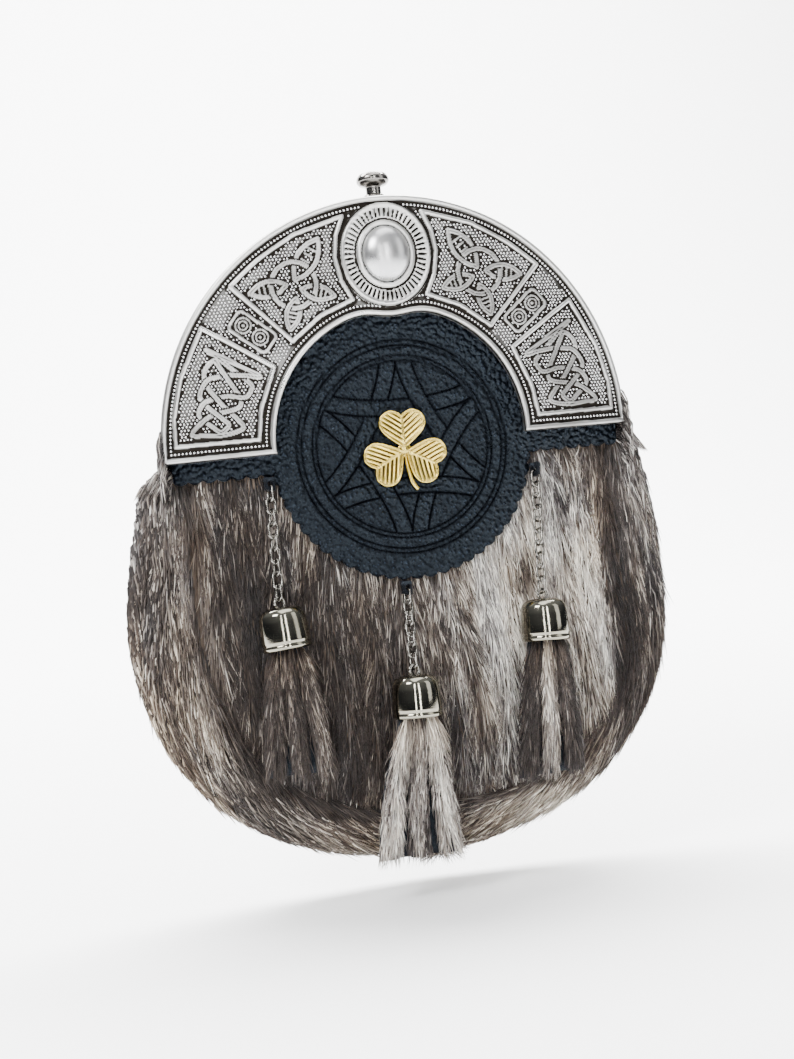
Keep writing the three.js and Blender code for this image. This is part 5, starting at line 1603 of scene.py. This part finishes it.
def link_form(tree, entry):
    """One link of round wire: a ring drawn out along Z."""
    ring = node(tree, "GeometryNodeCurvePrimitiveCircle",
                {"Resolution": 22, "Radius": entry.outputs["Ring Radius"]}, mode="RADIUS")
    upright = node(tree, "GeometryNodeTransform", {"Geometry": ring.outputs["Curve"],
                                                   "Rotation": (math.pi / 2, 0, 0)})
    spot = node(tree, "ShaderNodeSeparateXYZ", {0: node(tree, "GeometryNodeInputPosition").outputs[0]})
    push = maths(tree, "MULTIPLY", maths(tree, "SIGN", spot.outputs["Z"]), entry.outputs["Draw"])
    shift = node(tree, "ShaderNodeCombineXYZ", {"Z": push})
    drawn = node(tree, "GeometryNodeSetPosition", {"Geometry": upright.outputs["Geometry"],
                                                   "Offset": shift.outputs[0]})
    section = node(tree, "GeometryNodeCurvePrimitiveCircle",
                   {"Resolution": 10, "Radius": entry.outputs["Wire Radius"]}, mode="RADIUS")
    return node(tree, "GeometryNodeCurveToMesh", {"Curve": drawn.outputs["Geometry"],
                                                  "Profile Curve": section.outputs["Curve"]}).outputs["Mesh"]


LINK_TREE = instance_tree("links", link_form, LINK_METAL,
                          [("Ring Radius", 1.0), ("Draw", 1.0), ("Wire Radius", 0.3)])


def build_chain(row):
    places = link_places(row)
    middles = np.array([middle[:] for middle, _ in places])
    turns = [matrix.to_euler("XYZ")[:] for _, matrix in places]
    settings = {"Ring Radius": (LINK_WIDTH - WIRE) / 2, "Draw": (LINK_LENGTH - LINK_WIDTH) / 2,
                "Wire Radius": WIRE / 2 * 0.88}
    chain = scatter(f"chain_{row['name']}", LINK_TREE, middles, 1.0, turns, settings=settings)
    for i in range(len(places)):
        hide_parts(f"link_{row['name']}_{i + 1}")
    return len(places)


print("links:", [build_chain(row) for row in CHAINS])

# %% [markdown]
# A bell is a turned shell, open below, with a straight flank, a rolled lip and a ring on top. The
# profile runs from the crown down the outside, round the lip, and back up the inside.

# %% Bells
SHELL_R = BELL_R - BELL_LIP
BELL_PROFILE = [
    (0, 0.0), (2.4, -0.03), (SHELL_R * 0.6, -0.28), (SHELL_R * 0.83, -1.05), (SHELL_R * 0.95, -2.5),
    (SHELL_R * 1.0, -4.8), (SHELL_R + 0.2, -8.0), (BELL_R - 0.02, -BELL_HEIGHT + 2.4),
    (BELL_R - 0.3, -BELL_HEIGHT + 1.7), (BELL_R - 0.05, -BELL_HEIGHT + 1.2),
    (BELL_R - 0.1, -BELL_HEIGHT + 0.5), (BELL_R - 0.5, -BELL_HEIGHT), (SHELL_R - BELL_WALL, -BELL_HEIGHT),
    (SHELL_R - BELL_WALL, -5.0), (SHELL_R * 0.7, -2.6), (0, -2.0)]


def ring_mesh(radius, wire, matrix, sides=36, section=10):
    """A ring of round wire in the plane of X and Z, moved by a matrix."""
    whole = 2 * math.pi
    a, b = np.meshgrid(np.arange(sides) * whole / sides, np.arange(section) * whole / section, indexing="ij")
    r = radius + wire * np.cos(b)
    points = np.stack([r * np.cos(a), wire * np.sin(b), r * np.sin(a)], -1).reshape(-1, 3)
    points = points @ np.array(matrix)[:3, :3].T + np.array(matrix)[:3, 3]
    i, j = (grid.ravel() for grid in np.meshgrid(np.arange(sides), np.arange(section), indexing="ij"))
    here, ahead, up = i * section, (i + 1) % sides * section, (j + 1) % section
    return points, outward(points, np.stack([here + j, ahead + j, ahead + up, here + up], 1).tolist())


for chain_row in CHAINS:
    matrix = bell_matrix(chain_row)
    bell = turn_piece(f"bell_cap_{chain_row['name']}", soft_corners(BELL_PROFILE, 0.4, 2), 64, matrix,
                      BELL_METAL)
    eye_at = matrix @ Matrix.Translation((0, 0, EYE_R - WIRE / 2)) @ Matrix.Rotation(
        math.radians(CHAIN_TWIST), 4, "Z")
    eye = add_mesh(f"bell_eye_{chain_row['name']}", *ring_mesh(EYE_R, WIRE / 2, eye_at), LINK_METAL)
    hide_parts(f"bell_{chain_row['name']}")
    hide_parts(f"bell_{chain_row['name']}")
print("bells", len(CHAINS))

# %% [markdown]
# A tassel is a small bundle of hide strips with the hair on. The strips spring from inside the
# bell, flare over the belly and stay parted, so black leather shows in the slits between them.

# %% Tassels
TASSEL_OFF, STRIP_THICK, UNDER_OFF = 6.6, 3.4, 3.6
TASSEL_HAIRS, SLIT = 2900, 0.13
HEAD_R = SHELL_R - BELL_WALL - CLEARANCE


def tassel_point(row, part, off, step, across, down, depth):
    """A point of a tassel: across -0.5..0.5 over its width, down 0..1 from the bell to the hem."""
    mouth = bell_matrix(row) @ Vector((0, 0, -BELL_HEIGHT))
    half = HEAD_R * 0.8 + (row["width"] / 2 * part - HEAD_R * 0.8) * down ** 0.7
    z = mouth.z + 2 + (row["hem"][1] - 2) * down
    x = mouth.x + row["hem"][0] * down + 2 * half * across
    free = mouth.y + depth / 2 + step
    laid = hide_depth(x, z) - off + depth
    lay = smoothstep(0, 1, down * 2)
    return np.stack([x, free + (laid - free) * lay, z + 0 * x], -1)


def tassel_strip(row, middle, width, part, off, step, thick):
    u, down = np.meshgrid(np.linspace(-0.5, 0.5, 7), np.linspace(0, 0.97, 14))
    slit = SLIT * down
    across = middle + u * (width - slit)
    front = tassel_point(row, part, off, step, across, down, -thick / 2)
    back = tassel_point(row, part, off, step, across, down, thick / 2)
    points, faces = slab_from_grids(front, back)
    return points, outward(points, faces)


def build_tassel_core(row):
    points, faces = np.zeros((0, 3)), []
    strips = [(m, 0.333, 1.0, TASSEL_OFF - 0.7, -1.0, 1.3) for m in (-0.333, 0, 0.333)]
    strips += [(m, 0.5, 0.82, UNDER_OFF, 2.0, 2.4) for m in (-0.25, 0.25)]
    for strip in strips:
        more, rims = tassel_strip(row, *strip)
        faces += [tuple(int(v) + len(points) for v in face) for face in rims]
        points = np.concatenate([points, more])
    core = add_mesh(f"tassel_hide_{row['name']}", points, faces, BACK_LEATHER)
    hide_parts(f"tassel_{row['name']}")


TASSEL_TONES = {
    # tone, change across from left to right, how warm, how much tone differs from strip to strip
    "left": (0.07, 0.05, 0.42, (-0.05, 0.02, 0.08)),
    "centre": (0.54, 0.02, 0.22, (0.10, -0.10, 0.08)),
    "right": (0.15, 0.04, 0.32, (-0.06, 0.26, -0.08)),
}


def grow_tassel(row, seed):
    rng = np.random.default_rng(seed)
    n = TASSEL_HAIRS
    strip = rng.integers(0, 3, n)
    down = rng.uniform(0.0, 0.86, n) ** 0.9
    u = rng.uniform(-0.5, 0.5, n)
    behind = rng.random(n) < 0.22
    across = (strip - 1) / 3 + u * (0.325 - SLIT * down)
    depth = np.where(behind, 0.9, -STRIP_THICK / 2 + 1.5 * abs(2 * u) ** 4)
    spots = [tassel_point(row, 1.0, TASSEL_OFF, -1.0, a, d, depth)
             for a, d in ((across, down), (across, down + 0.03), (across + 0.02, down))]
    roots = spots[0]
    along, side = unit_rows(spots[1] - roots), unit_rows(spots[2] - roots)
    normal = unit_rows(np.cross(along, side))
    normal *= np.sign(-normal[:, 1:2]) * np.where(behind, -1, 1)[:, None]
    normal = unit_rows(normal + side * (1.1 * u)[:, None])
    flow = along + side * (0.10 * streaks(across * 40, down * 40, seed + 1))[:, None]
    length = rng.uniform(6, 11, n) * np.clip((1.06 - down) * abs(row["hem"][1]) / 11, 0.35, 1)
    base, tilt, warmth, by_strip = TASSEL_TONES[row["name"]]
    tone = base + tilt * across + np.array(by_strip)[strip] + 0.12 * streaks(across * 45, down * 40, seed + 2)
    kind = rng.random(n)
    tone = tone + rng.normal(0, 0.09, n) - 0.13 * (kind < 0.3) + 0.26 * (kind > 0.82)
    # painted shade: each strip's hair darkens towards its edges, beside the slits
    tone = tone - 0.22 * (2 * abs(u)) ** 3
    warm = warmth + 0.35 * np.exp(-(down / 0.2) ** 2) + rng.normal(0, 0.12, n)
    return lay_hair(f"tassel_fur_{row['name']}", roots, normal, flow, length, rng.uniform(0.26, 0.46, n),
                    rng.uniform(0.5, 1.5, n), np.clip(tone, 0.02, 1), np.clip(warm, 0, 1), rng, stray=0.09)


for tassel_seed, chain_row in enumerate(CHAINS, 70):
    build_tassel_core(chain_row)
    tassel_fur = grow_tassel(chain_row, tassel_seed)
    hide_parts(f"tassel_{chain_row['name']}")
print("tassels", len(CHAINS))

# %% [markdown]
# The back is plain: a leather panel with two belt loops and a row of stitches round its edge. The
# solids already have the right shapes there, so they stay and only get their leather or metal.
# The thread is the repeated part: the same tree that set the beads sets one stitch after another.

# %% Materials of the solids that stay
LEATHER_SOLIDS = ("back_panel", "loop_left", "loop_right", "hanger_left", "hanger_centre", "hanger_right")
for kept in (*LEATHER_SOLIDS, "back_frame"):
    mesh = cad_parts[kept].data
    mesh.materials.clear()
    mesh.materials.append(BACK_LEATHER if kept in LEATHER_SOLIDS else GUNMETAL)
    print(kept, "is", mesh.materials[0].name)

# %% Thread and stitches
STITCH_PITCH, STITCH_LENGTH, THREAD_R, EDGE_INSET = 4.2, 3.0, 0.34, 4.5
LOOP_MIDDLE_X, LOOP_MIDDLE_Z, LOOP_HALF_WIDTH = 32.0, 35.0, 10.0


def thread_material():
    material, tree, shader = fresh_material("waxed_thread")
    colour = ramp(tree, object_noise(tree, 900.0),
                  [(0.3, (0.012, 0.012, 0.013)), (0.7, (0.05, 0.05, 0.052))])
    tree.links.new(colour, shader.inputs["Base Color"])
    shader.inputs["Roughness"].default_value = 0.6
    return material


def stitch_form(tree, entry):
    """One stitch: a short closed bar, 1 long on X, with rounded ends."""
    ball = node(tree, "GeometryNodeMeshUVSphere", {"Segments": 8, "Rings": 6, "Radius": 0.5}).outputs["Mesh"]
    turned_ball = node(tree, "GeometryNodeTransform", {"Geometry": ball, "Rotation": (0, math.pi / 2, 0)})
    return turned_ball.outputs[0]


def stitch_row(plan, depth):
    """Middles and turns of the stitches along a plan path that lies at one depth."""
    middles = spaced(plan, STITCH_PITCH)
    ahead = np.gradient(middles, axis=0)
    angle = np.arctan2(ahead[:, 1], ahead[:, 0])
    points = np.stack([middles[:, 0], np.full(len(middles), depth), middles[:, 1]], -1)
    return points, np.stack([np.zeros_like(angle), -angle, np.zeros_like(angle)], -1)


def back_rows():
    """The stitches of the back: round the panel, under the frame, and across both feet of each loop."""
    x, z, away_x, away_z = seam(np.linspace(0.03, 0.97, 300))
    edge = np.stack([x - away_x * EDGE_INSET, z - away_z * EDGE_INSET], -1)
    rows = [stitch_row(edge, BACK_Y + 0.12)]
    rows.append(stitch_row(polar(CANTLE_R - 5.5, np.linspace(3, 177, 200)), BACK_Y + 0.12))
    points = np.array([v.co[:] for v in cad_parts["loop_left"].data.vertices]) / MM
    height = abs(points[:, 2]).max()
    foot = points[:, 1][abs(points[:, 2]) > height - 1].max() - FRONT_Y
    half = LOOP_HALF_WIDTH - 1.6
    for side in (-1, 1):
        for end in (-1, 1):
            for inset in (1.6, 4.2):
                z = LOOP_MIDDLE_Z + end * (height - inset)
                row = [(side * LOOP_MIDDLE_X - half, z), (side * LOOP_MIDDLE_X + half, z)]
                rows.append(stitch_row(np.array(row), foot + 0.12))
    return [np.concatenate(parts) for parts in zip(*rows)]


STITCH_TREE = instance_tree("stitches", stitch_form, thread_material())
stitch_points, stitch_turns = back_rows()
stitch_sizes = np.tile([STITCH_LENGTH, THREAD_R * 2, THREAD_R * 2], (len(stitch_points), 1))
stitches = scatter("back_stitches", STITCH_TREE, stitch_points, stitch_sizes, stitch_turns)
print(len(stitch_points), "stitches")
